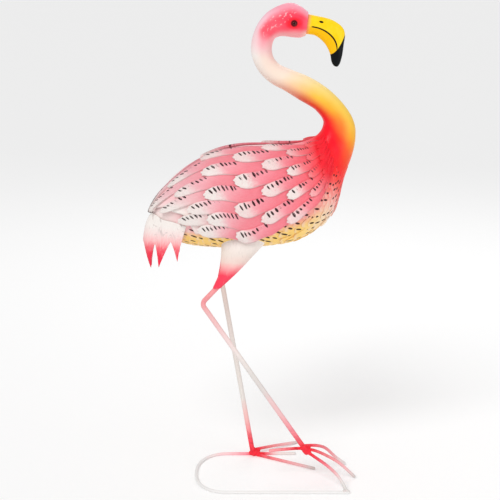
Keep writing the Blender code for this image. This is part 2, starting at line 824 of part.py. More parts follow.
def main():
    clear_scene()
    parts = new_collection("garden_flamingo")
    cutters = new_collection("cutters")

    make_body(parts)
    grown_body = make_grown_body(cutters)
    make_wing("right_wing", RIGHT, parts)
    make_wing("left_wing", LEFT, parts)
    under_wings = []
    wing_rooms = []
    for side, word in ((RIGHT, "right"), (LEFT, "left")):
        under_wings.append(make_wing_space("shell_of_" + word + "_wing", side, True, cutters))
        wing_rooms.append(make_wing_space("room_of_" + word + "_wing", side, False, cutters))
    make_tail(parts, [grown_body, *under_wings])
    make_beak(parts)
    make_eye("right_eye", RIGHT, parts, grown_body)
    make_eye("left_eye", LEFT, parts, grown_body)
    make_legs_and_feet(parts, cutters, grown_body, wing_rooms)
    hide_cutters(cutters)


main()
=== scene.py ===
# %% [markdown]
# # A painted sheet-metal flamingo
# The packed solids are loaded as a fixed frame, and every piece below is dressed around them.
# The bird looks along +X, its right side is -Y, and it stands on Z = 0. All sizes are metres
# unless a name says otherwise.

# %% Load the frame
import json
import math

import bmesh
import bpy
import numpy as np
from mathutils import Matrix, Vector

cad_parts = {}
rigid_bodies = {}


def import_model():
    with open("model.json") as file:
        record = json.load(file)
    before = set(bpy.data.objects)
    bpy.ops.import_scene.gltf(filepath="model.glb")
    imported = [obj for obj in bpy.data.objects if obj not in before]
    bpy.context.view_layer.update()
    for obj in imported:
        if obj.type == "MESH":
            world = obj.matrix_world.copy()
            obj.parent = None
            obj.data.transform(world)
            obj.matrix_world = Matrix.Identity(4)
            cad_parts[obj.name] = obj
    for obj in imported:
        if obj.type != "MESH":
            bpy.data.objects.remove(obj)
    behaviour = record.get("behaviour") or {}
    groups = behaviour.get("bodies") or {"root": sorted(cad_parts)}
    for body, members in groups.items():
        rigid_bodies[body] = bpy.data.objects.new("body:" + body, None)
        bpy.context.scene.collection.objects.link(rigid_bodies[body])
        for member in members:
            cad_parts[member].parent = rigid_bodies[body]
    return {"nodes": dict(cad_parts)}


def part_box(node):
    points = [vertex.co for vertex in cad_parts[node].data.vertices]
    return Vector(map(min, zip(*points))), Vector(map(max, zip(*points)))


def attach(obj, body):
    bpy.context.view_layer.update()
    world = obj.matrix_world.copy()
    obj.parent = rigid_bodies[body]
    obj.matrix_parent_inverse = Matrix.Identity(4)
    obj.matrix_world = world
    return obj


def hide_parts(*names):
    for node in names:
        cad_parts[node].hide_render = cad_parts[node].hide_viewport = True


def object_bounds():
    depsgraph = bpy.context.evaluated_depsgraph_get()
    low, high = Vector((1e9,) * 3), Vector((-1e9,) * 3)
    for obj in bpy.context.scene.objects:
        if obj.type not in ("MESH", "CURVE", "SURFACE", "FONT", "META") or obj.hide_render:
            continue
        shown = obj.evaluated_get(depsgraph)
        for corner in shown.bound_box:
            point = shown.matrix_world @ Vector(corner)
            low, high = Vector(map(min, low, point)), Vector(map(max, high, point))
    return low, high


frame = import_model()
cad_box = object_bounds()
BODY = "root"
RIGHT, LEFT = -1, 1
MM = 0.001
print("nodes:", len(frame["nodes"]), "box:", [tuple(round(v, 4) for v in corner) for corner in cad_box])

# %% [markdown]
# ## One way to write node trees
# Blender's shader and geometry trees are graphs of nodes, which are slow to read as a list of
# links. Here a small class wraps a socket, so that ordinary arithmetic adds the Math nodes, and
# one method adds every other kind of node. The same two classes serve both kinds of tree.

# %% Sockets as values
class Wire:
    """An output socket that can be used in an expression."""

    def __init__(self, graph, socket):
        self.graph = graph
        self.socket = socket

    def __add__(self, other):
        return self.graph.math("ADD", self, other)

    def __radd__(self, other):
        return self.graph.math("ADD", other, self)

    def __sub__(self, other):
        return self.graph.math("SUBTRACT", self, other)

    def __rsub__(self, other):
        return self.graph.math("SUBTRACT", other, self)

    def __mul__(self, other):
        return self.graph.math("MULTIPLY", self, other)

    def __rmul__(self, other):
        return self.graph.math("MULTIPLY", other, self)

    def __truediv__(self, other):
        return self.graph.math("DIVIDE", self, other)

    def __rtruediv__(self, other):
        return self.graph.math("DIVIDE", other, self)

    def __neg__(self):
        return self.graph.math("MULTIPLY", self, -1.0)


print("a wire knows:", [name for name in vars(Wire) if callable(getattr(Wire, name))])


# %% Node tree helper
class Graph:
    """A node tree that is filled by calls."""

    def __init__(self, tree):
        self.tree = tree

    def add(self, kind, settings=None, values=None):
        """Adds a node: its settings first, then the values or links of its sockets."""
        node = self.tree.nodes.new(kind)
        for name, value in (settings or {}).items():
            if name == "stops":
                self.set_stops(node.color_ramp, value)
            else:
                setattr(node, name, value)
        for name, value in (values or {}).items():
            if isinstance(value, Wire):
                self.tree.links.new(value.socket, node.inputs[name])
            else:
                node.inputs[name].default_value = value
        return node

    def wire(self, kind, settings=None, values=None, out=0):
        """Adds a node and gives one of its outputs."""
        return Wire(self, self.add(kind, settings, values).outputs[out])

    def set_stops(self, ramp, stops):
        """Sets a colour ramp's stops, as (place, colour)."""
        while len(ramp.elements) > 1:
            ramp.elements.remove(ramp.elements[-1])
        for index, (place, colour) in enumerate(stops):
            element = ramp.elements[0] if index == 0 else ramp.elements.new(place)
            element.position = place
            element.color = (*colour, 1.0)

    def math(self, operation, first, second=0.0):
        return self.wire("ShaderNodeMath", {"operation": operation}, {0: first, 1: second})

    def vector_math(self, operation, first, second):
        return self.wire("ShaderNodeVectorMath", {"operation": operation}, {0: first, 1: second})

    def smooth(self, value, low, high):
        """0 below low, 1 above high and an S between them."""
        settings = {"interpolation_type": "SMOOTHSTEP"}
        return self.wire("ShaderNodeMapRange", settings, {"Value": value, "From Min": low, "From Max": high})

    def fades(self, value, start, end):
        """1 up to a start, 0 from an end on."""
        return 1.0 - self.smooth(value, start, end)

    def band(self, value, rise, fall):
        """1 between a rise and a fall, each given as the two ends of its S."""
        return self.smooth(value, *rise) * self.fades(value, *fall)

    def clamp(self, value):
        return self.wire("ShaderNodeClamp", None, {"Value": value})

    def mix(self, share, first, second):
        """Mixes two colours."""
        values = {0: share, 6: solid(first), 7: solid(second)}
        return self.wire("ShaderNodeMix", {"data_type": "RGBA"}, values, 2)

    def split(self, vector):
        node = self.add("ShaderNodeSeparateXYZ", None, {0: vector})
        return [Wire(self, socket) for socket in node.outputs]

    def join(self, x, y, z=0.0):
        return self.wire("ShaderNodeCombineXYZ", None, {0: x, 1: y, 2: z})

    def noise(self, vector, scale, detail=2.0):
        return self.wire("ShaderNodeTexNoise", None, {"Vector": vector, "Scale": scale, "Detail": detail})

    def random(self, vector):
        """One random number from 0 to 1 for each value of a vector."""
        return self.wire("ShaderNodeTexWhiteNoise", {"noise_dimensions": "3D"}, {"Vector": vector})

    def ramp(self, stops, place):
        """A colour ramp read at a place. Its stops are (place, colour)."""
        return self.wire("ShaderNodeValToRGB", {"stops": stops}, {"Fac": place})

    def attribute(self, name):
        """A number that the mesh carries, for a material."""
        return self.wire("ShaderNodeAttribute", {"attribute_name": name}, None, 2)

    def named(self, name, kind="FLOAT"):
        """A number or vector that the mesh carries, for a geometry tree."""
        return self.wire("GeometryNodeInputNamedAttribute", {"data_type": kind}, {"Name": name})


def solid(colour):
    """A three-number colour with its alpha, or a wire as it is."""
    return colour if isinstance(colour, Wire) else (*colour, 1.0)


print("a graph knows:", [name for name in vars(Graph) if not name.startswith("_")])


# %% [markdown]
# ## The skin of the bird
# The solid body is a loft of rings, and its corners lie on the true smooth skin. The rings are
# found again by walking out from the flat face that carries the beak, one ring at a time. Each
# ring is a smooth loop of low harmonics, so a Fourier series through its corners gives the
# exact curve, and a Catmull-Rom curve joins the rings. Everything on the bird follows from it.

# %% Find the rings of a loft
MERGE = 1e-6
FLAT = 1e-5
TOP_SLACK = 1e-4


def merged(node):
    """A CAD node's mesh with its loose triangles joined."""
    shell = bmesh.new()
    shell.from_mesh(frame["nodes"][node].data)
    bmesh.ops.remove_doubles(shell, verts=shell.verts, dist=MERGE)
    shell.normal_update()
    shell.verts.ensure_lookup_table()
    return shell


def flat_ends(shell, sides):
    """The corners of each flat end, found as coplanar triangles that fill one ring."""
    seen, ends = set(), []
    for face in shell.faces:
        if face in seen:
            continue
        region, edge_of_region = {face}, [face]
        while edge_of_region:
            here = edge_of_region.pop()
            for edge in here.edges:
                for other in edge.link_faces:
                    if other not in region and other.normal.dot(face.normal) > 1 - FLAT:
                        region.add(other)
                        edge_of_region.append(other)
        seen |= region
        if len(region) == sides - 2:
            ends.append({vertex for member in region for vertex in member.verts})
    return ends


def walk_rings(start):
    """Rings of vertices from one end to the other."""
    rings, known = [start], set(start)
    while True:
        following = {edge.other_vert(vertex) for vertex in rings[-1] for edge in vertex.link_edges} - known
        if not following:
            return rings
        rings.append(following)
        known |= following


def order_ring(ring, top):
    """The ring's places from its top corner, down the right side and up the left."""
    centre = sum((vertex.co for vertex in ring), Vector()) / len(ring)
    up = (top - centre).normalized()
    whole = 2 * math.pi
    turns = {}
    for vertex in ring:
        turn = math.atan2(-vertex.co.y, (vertex.co - centre).dot(up)) % whole
        turns[vertex] = 0.0 if turn > whole - TOP_SLACK else turn
    return [tuple(vertex.co) for vertex in sorted(ring, key=turns.get)]


def loft_rings(node, sides, end_at):
    """A lofted node's rings as an array, from the flat end nearest to end_at."""
    shell = merged(node)
    ends = flat_ends(shell, sides)
    start = min(ends, key=lambda end: (sum((v.co for v in end), Vector()) / len(end) - end_at).length)
    rings = [ring for ring in walk_rings(start) if len(ring) == sides]
    top = max((vertex.co for vertex in start), key=lambda place: place.z)
    ordered = []
    for ring in rings:
        middle = [vertex.co for vertex in ring if abs(vertex.co.y) < MERGE * 10]
        top = min(middle, key=lambda place: (place - top).length)
        ordered.append(order_ring(ring, top))
    shell.free()
    return np.array(ordered)


beak_shell = merged("beak")
print("beak solid:", len(beak_shell.verts), "corners and", len(beak_shell.faces), "triangles")
beak_shell.free()


# %% Rings of the body
BODY_SIDES = 18
STATIONS = 29.0
beak_low, beak_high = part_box("beak")
face_place = Vector((beak_low.x, 0, beak_high.z))
body_rings = loft_rings("body", BODY_SIDES, face_place)[::-1]
print("body rings:", body_rings.shape)


# %% The smooth skin between the rings
HARMONICS = 3


def harmonics_of(rings):
    """The first harmonics of each ring, which hold its whole shape."""
    return np.fft.rfft(rings, axis=1)[:, : HARMONICS + 1] / rings.shape[1]


def catmull_rom(before, start, end, after, along):
    """The smooth way from start to end that also heeds their neighbours."""
    return 0.5 * (
        2 * start
        + (end - before) * along
        + (2 * before - 5 * start + 4 * end - after) * along**2
        + (3 * start - before - 3 * end + after) * along**3
    )


def on_loft(harmonics, ring, turn):
    """Places on a loft: ring counts its rings, turn is in radians, both arrays of one shape."""
    last = len(harmonics) - 1
    ring = np.clip(ring, 0.0, last - 1e-9)
    step = ring.astype(int)
    along = (ring - step)[:, None, None]
    before = harmonics[np.maximum(step - 1, 0)]
    before = np.where((step == 0)[:, None, None], 2 * harmonics[0] - harmonics[1], before)
    after = harmonics[np.minimum(step + 2, last)]
    after = np.where((step + 2 > last)[:, None, None], 2 * harmonics[last] - harmonics[last - 1], after)
    blended = catmull_rom(before, harmonics[step], harmonics[step + 1], after, along)
    waves = np.exp(1j * np.arange(HARMONICS + 1)[None, :] * turn[:, None])
    waves[:, 1:] *= 2
    return np.real(blended * waves[:, :, None]).sum(axis=1)


print("halfway from 0 to 1, between level neighbours:", catmull_rom(0, 0, 1, 1, 0.5))


# %% Places on the skin
body_harmonics = harmonics_of(body_rings)
RINGS_PER_STATION = (len(body_rings) - 1) / STATIONS
SKIN_STEP = 0.02


def skin(station, turn):
    """Places on the body: stations run from the rump to the beak, turn is in degrees."""
    return on_loft(body_harmonics, station * RINGS_PER_STATION, np.radians(turn))


def skin_normal(station, turn):
    """The skin's outward direction."""
    low = np.maximum(station - SKIN_STEP, 0.0)
    high = np.minimum(station + SKIN_STEP, STATIONS)
    along = skin(high, turn) - skin(low, turn)
    across = skin(station, turn + 1.0) - skin(station, turn - 1.0)
    normal = -np.cross(along, across)
    return normal / np.linalg.norm(normal, axis=1, keepdims=True)


def eased(share):
    """0 to 1 with soft ends."""
    share = np.clip(share, 0.0, 1.0)
    return share * share * (3 - 2 * share)


def raised(station, turn, height):
    """Places at a height over the skin."""
    height = np.broadcast_to(height, station.shape)
    return skin(station, turn) + skin_normal(station, turn) * height[:, None]


check = raised(np.array([5.0]), np.array([90.0]), 0.0)[0]
print("skin at station 5, right side:", check.round(4))


# %% [markdown]
# ## Meshes from grids
# Most pieces are grids of places: rows along the bird, columns round it. Each could be built with
# Blender's own curve or surface objects, but those give no hold on the UV map. One helper makes
# the grid, gives it its UV map, closes it round or at its ends where it should be closed, and
# shades it smooth. UV maps carry the drawing's own coordinates, which the paint reads later.

# %% Grid helper
SMOOTH_ANGLE = 50.0


def link(name, data):
    """A new object for a mesh, camera or light, in the scene."""
    made = bpy.data.objects.new(name, data)
    bpy.context.scene.collection.objects.link(made)
    return made


def crossed(rows, columns):
    """Every pair of a row's value and a column's value, as two flat arrays in row order."""
    return (values.ravel() for values in np.meshgrid(rows, columns, indexing="ij"))


def set_attribute(mesh, name, values, kind="FLOAT"):
    """Gives every point of a mesh its own number or vector."""
    layer = mesh.attributes.new(name, kind, "POINT")
    field = "vector" if kind == "FLOAT_VECTOR" else "value"
    layer.data.foreach_set(field, np.asarray(values, np.float32).ravel())


def grid_object(name, places, shape, uv, closed_round=False, start=None, end=None):
    """A grid as an object. Places stand in row order, and start and end close it to a point."""
    rows, columns = shape
    vertices = [tuple(place) for place in places]
    faces, corners = [], []

    def corner(i, j):
        return i * columns + j % columns

    for i in range(rows - 1):
        for j in range(columns if closed_round else columns - 1):
            faces.append((corner(i, j), corner(i, j + 1), corner(i + 1, j + 1), corner(i + 1, j)))
            corners.append(((i, j), (i, j + 1), (i + 1, j + 1), (i + 1, j)))
    for pole, i in ((start, 0), (end, rows - 1)):
        if pole is None:
            continue
        vertices.append(tuple(pole))
        for j in range(columns):
            ring = (corner(i, j + 1), corner(i, j)) if i == 0 else (corner(i, j), corner(i, j + 1))
            faces.append((len(vertices) - 1, *ring))
            corners.append(((i, j), (i, j + 1), (i, j)) if i == 0 else ((i, j), (i, j), (i, j + 1)))
    mesh = bpy.data.meshes.new(name)
    mesh.from_pydata(vertices, [], faces)
    layer = mesh.uv_layers.new(name="skin")
    flat = [uv(i, j) for face in corners for i, j in face]
    layer.data.foreach_set("uv", np.array(flat, np.float32).ravel())
    finish_mesh(mesh)
    return link(name, mesh)


print("a grid of 2 by 3, in row order:", [values.tolist() for values in crossed([0, 1], [0, 1, 2])])


# %% Finishing helpers
def finish_mesh(mesh):
    """Faces outwards and smooth shading."""
    shell = bmesh.new()
    shell.from_mesh(mesh)
    bmesh.ops.recalc_face_normals(shell, faces=shell.faces)
    shell.to_mesh(mesh)
    shell.free()
    mesh.shade_smooth()
    mesh.set_sharp_from_angle(angle=math.radians(SMOOTH_ANGLE))


def settled(made):
    """The object with its modifiers made part of a plain mesh."""
    evaluated = made.evaluated_get(bpy.context.evaluated_depsgraph_get())
    mesh = bpy.data.meshes.new_from_object(evaluated)
    made.modifiers.clear()
    made.data = mesh
    return made


def count(made):
    """Triangles in a mesh."""
    return sum(len(face.vertices) - 2 for face in made.data.polygons)


print("edges that turn more than", SMOOTH_ANGLE, "degrees stay sharp")


# %% [markdown]
# ## Body, neck and head
# On the real bird this is one welded shell of thin sheet, beaten smooth and painted. It could be
# sculpted, or be a coarse cage under a Subdivision Surface. One fine grid on the skin is surer:
# it lies exactly on the solid, and its rows and columns are the coordinates that the paint needs.
# It is closed at the rump and at the face.

# %% Body mesh
BODY_ROWS = 260
BODY_COLUMNS = 96
CROWN_SINK = 0.3 * MM
CROWN_DEPTH = 20 * MM
RUMP_ROW = 4
RUMP_ROUNDING = 3 * MM


def make_body():
    stations = np.linspace(0.0, STATIONS, BODY_ROWS)
    turns = np.linspace(0.0, 360.0, BODY_COLUMNS, endpoint=False)
    places = raised(*crossed(stations, turns), 0.0)
    places[:, 2] -= CROWN_SINK * eased((places[:, 2] - cad_box[1].z + CROWN_DEPTH) / CROWN_DEPTH)
    rings = places.reshape(BODY_ROWS, BODY_COLUMNS, 3)
    rump = rings[0].mean(axis=0)
    outwards = rump - rings[RUMP_ROW].mean(axis=0)
    start = rump + outwards / np.linalg.norm(outwards) * RUMP_ROUNDING
    return grid_object(
        "body_shell",
        places,
        (BODY_ROWS, BODY_COLUMNS),
        lambda i, j: (stations[i] / STATIONS, j / BODY_COLUMNS),
        closed_round=True,
        start=start,
        end=rings[-1].mean(axis=0),
    )


body = make_body()
print("body triangles:", count(body))

# %% [markdown]
# ## A sheet that feathers are laid on
# Feathers are first laid out flat, in the drawing's coordinates, and then wrapped on the bird.
# The wrap needs a map: a hidden grid that lies on the bird and whose UV map is the flat layout.
# Geometry Nodes can then ask the map where a flat place lies in space and which way is out.

# %% Wing outline
WING_TOP = ((0.0, 5.0), (3.0, 9.0), (5.0, 15.0), (7.0, 14.0), (9.0, 24.0), (11.0, 34.0))
WING_BOTTOM = (
    (1.6, 120.0), (3.8, 131.0), (5.3, 141.0), (6.3, 133.0), (7.2, 123.0), (8.4, 113.0),
    (11.0, 101.0),
)
WING_FRONT = ((15.0, 9.8), (40.0, 10.3), (75.0, 10.9), (110.0, 10.9))
REAR_SLANT = ((5.0, 0.0), (45.0, 0.35), (75.0, 1.1), (100.0, 1.8), (130.0, 2.1))
MAP_STATIONS = 12.0
MAP_MARGIN = 0.15
MAP_SPAN = 1 + 2 * MAP_MARGIN
WING_MAP_GRID = (97, 66)
print("a wing reaches forward to stations", [station for _, station in WING_FRONT])


# %% Flat layout and map
def look_up(table, place):
    """A table's value at each place, eased between its rows."""
    places, values = (np.array(column) for column in zip(*table))
    index = np.clip(np.searchsorted(places, place), 1, len(places) - 1)
    share = (place - places[index - 1]) / (places[index] - places[index - 1])
    return values[index - 1] + (values[index] - values[index - 1]) * eased(share)


def wing_turn(station, across):
    """Degrees from the back line at a share of the way from the wing's top edge to its lower edge."""
    top = look_up(WING_TOP, station)
    return top + (look_up(WING_BOTTOM, station) - top) * across


def side_turn(turn, side):
    """The same turn on the left side is measured the other way round."""
    return turn if side == RIGHT else 360.0 - turn


def map_share(across):
    """A share across the layout as a place on the map, which has a margin on each side."""
    return (across + MAP_MARGIN) / MAP_SPAN


def map_object(name, side, turn_at, lift_at, stations, acrosses, station_span):
    """A hidden grid on the bird whose UV map is the flat layout."""
    grid_stations, grid_acrosses = crossed(stations, acrosses)
    turns = side_turn(turn_at(grid_stations, grid_acrosses), side)
    made = grid_object(
        name,
        raised(grid_stations, turns, lift_at(grid_stations, grid_acrosses)),
        (len(stations), len(acrosses)),
        lambda i, j: (stations[i] / station_span, map_share(acrosses[j])),
    )
    set_attribute(made.data, "outward", skin_normal(grid_stations, turns), "FLOAT_VECTOR")
    made.hide_render = True
    return made


print("wing edges at station 5:", look_up(WING_TOP, [5.0]), look_up(WING_BOTTOM, [5.0]), "degrees")


# %% How far a wing stands off the body
SHEET = 1.8 * MM
CLEARANCE = 1.5 * MM
REAR_FLARE = 3.0 * MM
REAR_FLARE_END = 4.6
REAR_FLARE_TURN = 30.0
LOWER_FLARE = 4.0 * MM
LOWER_FLARE_START = 0.8
LOWER_FLARE_FRONT = 9.8
FRONT_SINK = 2.6 * MM
FRONT_SINK_START = 1.2


def wing_lift(station, across):
    """How far the sheet's outer face stands over the skin. Its front edge sinks into the chest."""
    turn = wing_turn(station, across)
    rear = REAR_FLARE * eased(1 - station / REAR_FLARE_END) * eased(turn / REAR_FLARE_TURN)
    low = eased((across - LOWER_FLARE_START) / (1 - LOWER_FLARE_START))
    lower = LOWER_FLARE * low * eased(LOWER_FLARE_FRONT - station)
    sunk = FRONT_SINK * eased(station - look_up(WING_FRONT, turn) + FRONT_SINK_START)
    return CLEARANCE + SHEET + np.maximum(rear, lower) - sunk


def make_wing_map(name, side):
    """The map of one wing, a little larger than the wing on every side."""
    stations = np.linspace(0.0, MAP_STATIONS, WING_MAP_GRID[0])
    acrosses = np.linspace(-MAP_MARGIN, 1 + MAP_MARGIN, WING_MAP_GRID[1])
    return map_object(name, side, wing_turn, wing_lift, stations, acrosses, MAP_STATIONS)


lift_mm = wing_lift(np.array([1.0, 5.0]), np.array([0.5, 0.5])) / MM
print("wing stands off the body at stations 1 and 5, mm:", lift_mm.round(2))

# %% [markdown]
# ## A tree that lays feathers
# On the real bird each feather is punched up out of the sheet. Sculpting several hundred of them
# would be slow and uneven, and a bump alone would leave the outline smooth. Here each feather is
# a small box whose grid is bent into a blade: a round tip, a crown across it and a root that
# sinks under the feathers in front. The box is placed on every point of the layout, the copies
# are made real, and each corner is wrapped on the map. Points carry the length, width and lift
# of their own feather, so one tree serves wings and breast.

# %% Feather tree
TIP_SHARPNESS = 1.7
EDGE_ROUND = 0.22
TIP_ROUND = 0.02
ROOT_NARROWING = 0.25
RAGGED = 0.05
RAGGED_WAVES = 37.0
RAGGED_SHIFT = 40.0
MAP_START = 0.0005
FIELDS = ("station", "across", "length", "width", "lift", "roundness", "seed")
FEATHER_INPUTS = (
    ("Layout", "Geometry"),
    ("Map", "Object"),
    ("Paint", "Material"),
    ("Thickness", "Float"),
    ("Crown", "Float"),
)


def feather_tree(name, along_count, across_count, station_span):
    """Builds the tree. Its layout points hold (station, across) and the feather's sizes."""
    tree = bpy.data.node_groups.new(name, "GeometryNodeTree")
    for socket, kind in FEATHER_INPUTS:
        tree.interface.new_socket(socket, in_out="INPUT", socket_type="NodeSocket" + kind)
    tree.interface.new_socket("Feathers", in_out="OUTPUT", socket_type="NodeSocketGeometry")
    graph = Graph(tree)
    given = graph.add("NodeGroupInput").outputs[: len(FEATHER_INPUTS)]
    layout, chart, paint, thickness, crown = (Wire(graph, socket) for socket in given)

    corners = {"Size": (1, 1, 1), "Vertices X": along_count, "Vertices Y": across_count, "Vertices Z": 2}
    box = graph.wire("GeometryNodeMeshCube", None, corners)
    placed = graph.wire("GeometryNodeInstanceOnPoints", None, {"Points": layout, "Instance": box})
    real = graph.wire("GeometryNodeRealizeInstances", None, {"Geometry": placed})

    fields = {field: graph.named(field) for field in FIELDS}
    station, across, length = fields["station"], fields["across"], fields["length"]
    local = graph.wire("GeometryNodeInputPosition")
    centre = graph.join(station, across, 0.0)
    x, y, z = graph.split(graph.vector_math("SUBTRACT", local, centre))
    along = graph.math("POWER", graph.clamp(x + 0.5), TIP_SHARPNESS)
    angle = y * math.pi
    sideways = graph.math("SINE", angle)
    ragged = graph.math("SINE", y * RAGGED_WAVES + fields["seed"] * RAGGED_SHIFT) * RAGGED
    tip_curve = fields["roundness"] * (1.0 - graph.math("COSINE", angle)) + (0.25 - y * y) * 4.0 * ragged
    reach = tip_curve + along * (length - tip_curve)
    out_station = station + reach
    out_across = across + sideways * fields["width"] * (1.0 - ROOT_NARROWING * along * along)

    top = graph.math("GREATER_THAN", z, 0.0)
    from_side = graph.clamp((1.0 - graph.math("ABSOLUTE", sideways)) / EDGE_ROUND)
    edge = graph.math("MINIMUM", from_side, graph.clamp(along / TIP_ROUND))
    round_over = 1.0 - (1.0 - edge) * (1.0 - edge)
    arch = crown * (1.0 - sideways * sideways) * (1.0 - along)
    body_height = fields["lift"] * (1.0 - along) + thickness * round_over + arch
    height = top * body_height - (1.0 - top) * thickness

    flat_station = graph.math("MAXIMUM", out_station / station_span, MAP_START)
    flat = graph.join(flat_station, map_share(out_across), 0.0)
    settings = {"transform_space": "RELATIVE"}
    chart_mesh = graph.wire("GeometryNodeObjectInfo", settings, {"Object": chart}, out=4)

    def sampled(value):
        uv = graph.named("skin", "FLOAT_VECTOR")
        values = {"Mesh": chart_mesh, "Value": value, "UV Map": uv, "Sample UV": flat}
        return graph.wire("GeometryNodeSampleUVSurface", {"data_type": "FLOAT_VECTOR"}, values)

    surface = sampled(graph.wire("GeometryNodeInputPosition"))
    outward = sampled(graph.named("outward", "FLOAT_VECTOR"))
    scaled = graph.wire("ShaderNodeVectorMath", {"operation": "SCALE"}, {0: outward, "Scale": height})
    place = graph.vector_math("ADD", surface, scaled)

    def store(geometry, attribute, value, kind="FLOAT2", domain="CORNER"):
        values = {"Geometry": geometry, "Name": attribute, "Value": value}
        return graph.wire("GeometryNodeStoreNamedAttribute", {"data_type": kind, "domain": domain}, values)

    kept = store(real, "skin", flat)
    kept = store(kept, "feather", graph.join(reach, sideways, 0.0))
    kept = store(kept, "top", top, "FLOAT", "POINT")
    moved = graph.wire("GeometryNodeSetPosition", None, {"Geometry": kept, "Position": place})
    painted = graph.wire("GeometryNodeSetMaterial", None, {"Geometry": moved, "Material": paint})
    graph.add("NodeGroupOutput", None, {0: painted})
    print(name, "tree:", len(tree.nodes), "nodes")
    return tree


# %% [markdown]
# ## Paint
# The bird is airbrushed enamel: broad soft bands of colour that run along the neck and fade
# round it, with a fine unevenness from the spray. Each paint is a Principled material. The
# broad bands are colour ramps along the stations, one for the back line, one for the sides and
# one for the front line, and they are blended round the bird by the turn in the UV map.

# %% Paint values
ENAMEL_COAT = 0.06
ENAMEL_COAT_ROUGHNESS = 0.12
ENAMEL_SPECULAR = 0.09
WHITE = (0.90, 0.84, 0.80)
CREAM = (0.88, 0.72, 0.62)
PALE_PINK = (0.93, 0.56, 0.59)
PINK = (0.94, 0.31, 0.37)
ROSE = (0.94, 0.12, 0.17)
DEEP_ROSE = (0.94, 0.035, 0.075)
RED = (0.95, 0.008, 0.022)
RED_ORANGE = (0.95, 0.045, 0.02)
GOLD = (0.95, 0.42, 0.035)
YELLOW = (0.95, 0.54, 0.06)
PEACH = (0.86, 0.45, 0.31)
OCHRE = (0.97, 0.65, 0.19)
DARK = (0.02, 0.004, 0.006)
SHADE = (0.45, 0.06, 0.09)
GREY = (0.55, 0.47, 0.45)
print("clear coat of the enamel:", ENAMEL_COAT, "at roughness", ENAMEL_COAT_ROUGHNESS)


# %% Paint helpers
def enamel(name, roughness):
    """A new Principled material with a clear coat, and its graph and shader."""
    made = bpy.data.materials.new(name)
    made.use_nodes = True
    graph = Graph(made.node_tree)
    shader = made.node_tree.nodes["Principled BSDF"]
    shader.inputs["Roughness"].default_value = roughness
    shader.inputs["Specular IOR Level"].default_value = ENAMEL_SPECULAR
    shader.inputs["Coat Weight"].default_value = ENAMEL_COAT
    shader.inputs["Coat Roughness"].default_value = ENAMEL_COAT_ROUGHNESS
    return made, graph, shader


def connect(graph, wire, shader, socket):
    graph.tree.links.new(wire.socket, shader.inputs[socket])


def bump(graph, height, distance):
    """A bump node for a height in metres."""
    return graph.wire("ShaderNodeBump", None, {"Height": height, "Distance": distance, "Strength": 1.0})


def object_place(graph):
    return graph.wire("ShaderNodeTexCoord", None, None, 3)


def uv_map(graph, name):
    return graph.wire("ShaderNodeUVMap", {"uv_map": name})


def spray(graph, colour, amount):
    """Fine unevenness of a sprayed colour."""
    fine = graph.noise(object_place(graph), 900.0, 3.0)
    broad = graph.noise(object_place(graph), 60.0, 2.0)
    share = (fine - 0.5) * amount + (broad - 0.5) * amount
    lighter = graph.mix(graph.clamp(share * 0.5), colour, WHITE)
    return graph.mix(graph.clamp(-share), lighter, SHADE)


print("spray lightens towards", WHITE, "and darkens towards", SHADE)


# %% Bands of the body
eye_low, eye_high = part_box("right_eye")
EYE_PLACE = ((eye_low.x + eye_high.x) / 2, (eye_low.z + eye_high.z) / 2)


def station_ramp(graph, place, stops, stations=STATIONS):
    """A colour ramp whose stops are given in stations."""
    return graph.ramp([(station / stations, colour) for station, colour in stops], place)


BACK_BANDS = (
    (0, (0.91, 0.76, 0.74)), (1.6, (0.92, 0.62, 0.64)), (7, (0.92, 0.56, 0.58)), (8.6, ROSE),
    (9.8, RED), (14.4, RED), (15.6, (0.88, 0.03, 0.02)), (16.4, (0.83, 0.07, 0.03)),
    (17.2, (0.78, 0.17, 0.09)), (18.1, PEACH), (19.2, CREAM), (21.4, WHITE),
    (22.8, (0.93, 0.66, 0.68)), (24.6, (0.95, 0.60, 0.68)), (26, (0.95, 0.37, 0.46)),
    (29, (0.95, 0.37, 0.46)),
)
SIDE_BANDS = (
    (0, WHITE), (1.4, (0.91, 0.72, 0.70)), (3, PINK), (7.5, PINK), (8.6, (0.97, 0.40, 0.33)),
    (9.4, (0.97, 0.38, 0.33)), (10.0, (0.97, 0.22, 0.20)), (10.6, (0.96, 0.07, 0.07)),
    (11.2, (0.96, 0.015, 0.018)), (12.6, RED), (13.3, RED_ORANGE), (14, (0.95, 0.15, 0.03)),
    (15, (0.95, 0.25, 0.03)), (16, GOLD), (17, YELLOW), (18, (0.95, 0.60, 0.27)),
    (19, (0.91, 0.74, 0.61)), (21, (0.87, 0.70, 0.61)), (22, (0.87, 0.56, 0.56)),
    (23, (0.93, 0.37, 0.42)), (24, (0.95, 0.13, 0.18)), (25, (0.95, 0.15, 0.21)),
    (26.2, (0.95, 0.055, 0.11)), (28.2, (0.95, 0.05, 0.10)), (29, ROSE),
)
FRONT_BANDS = (
    (0, CREAM), (1.6, OCHRE), (7.9, OCHRE), (8.6, (0.95, 0.68, 0.30)), (9.4, (0.93, 0.70, 0.50)),
    (10.0, (0.93, 0.54, 0.47)), (10.6, (0.94, 0.34, 0.31)), (11.15, (0.95, 0.11, 0.09)),
    (11.8, (0.95, 0.02, 0.02)), (13.1, (0.95, 0.12, 0.03)), (14, (0.95, 0.43, 0.03)),
    (15, (0.95, 0.56, 0.07)), (16.2, (0.95, 0.63, 0.10)), (17.2, (0.95, 0.71, 0.22)),
    (18.2, (0.94, 0.76, 0.44)), (19.2, (0.90, 0.76, 0.65)), (20.2, CREAM), (22, (0.88, 0.53, 0.53)),
    (23.4, (0.91, 0.40, 0.43)), (28, (0.93, 0.38, 0.41)), (29, (0.90, 0.52, 0.47)),
)


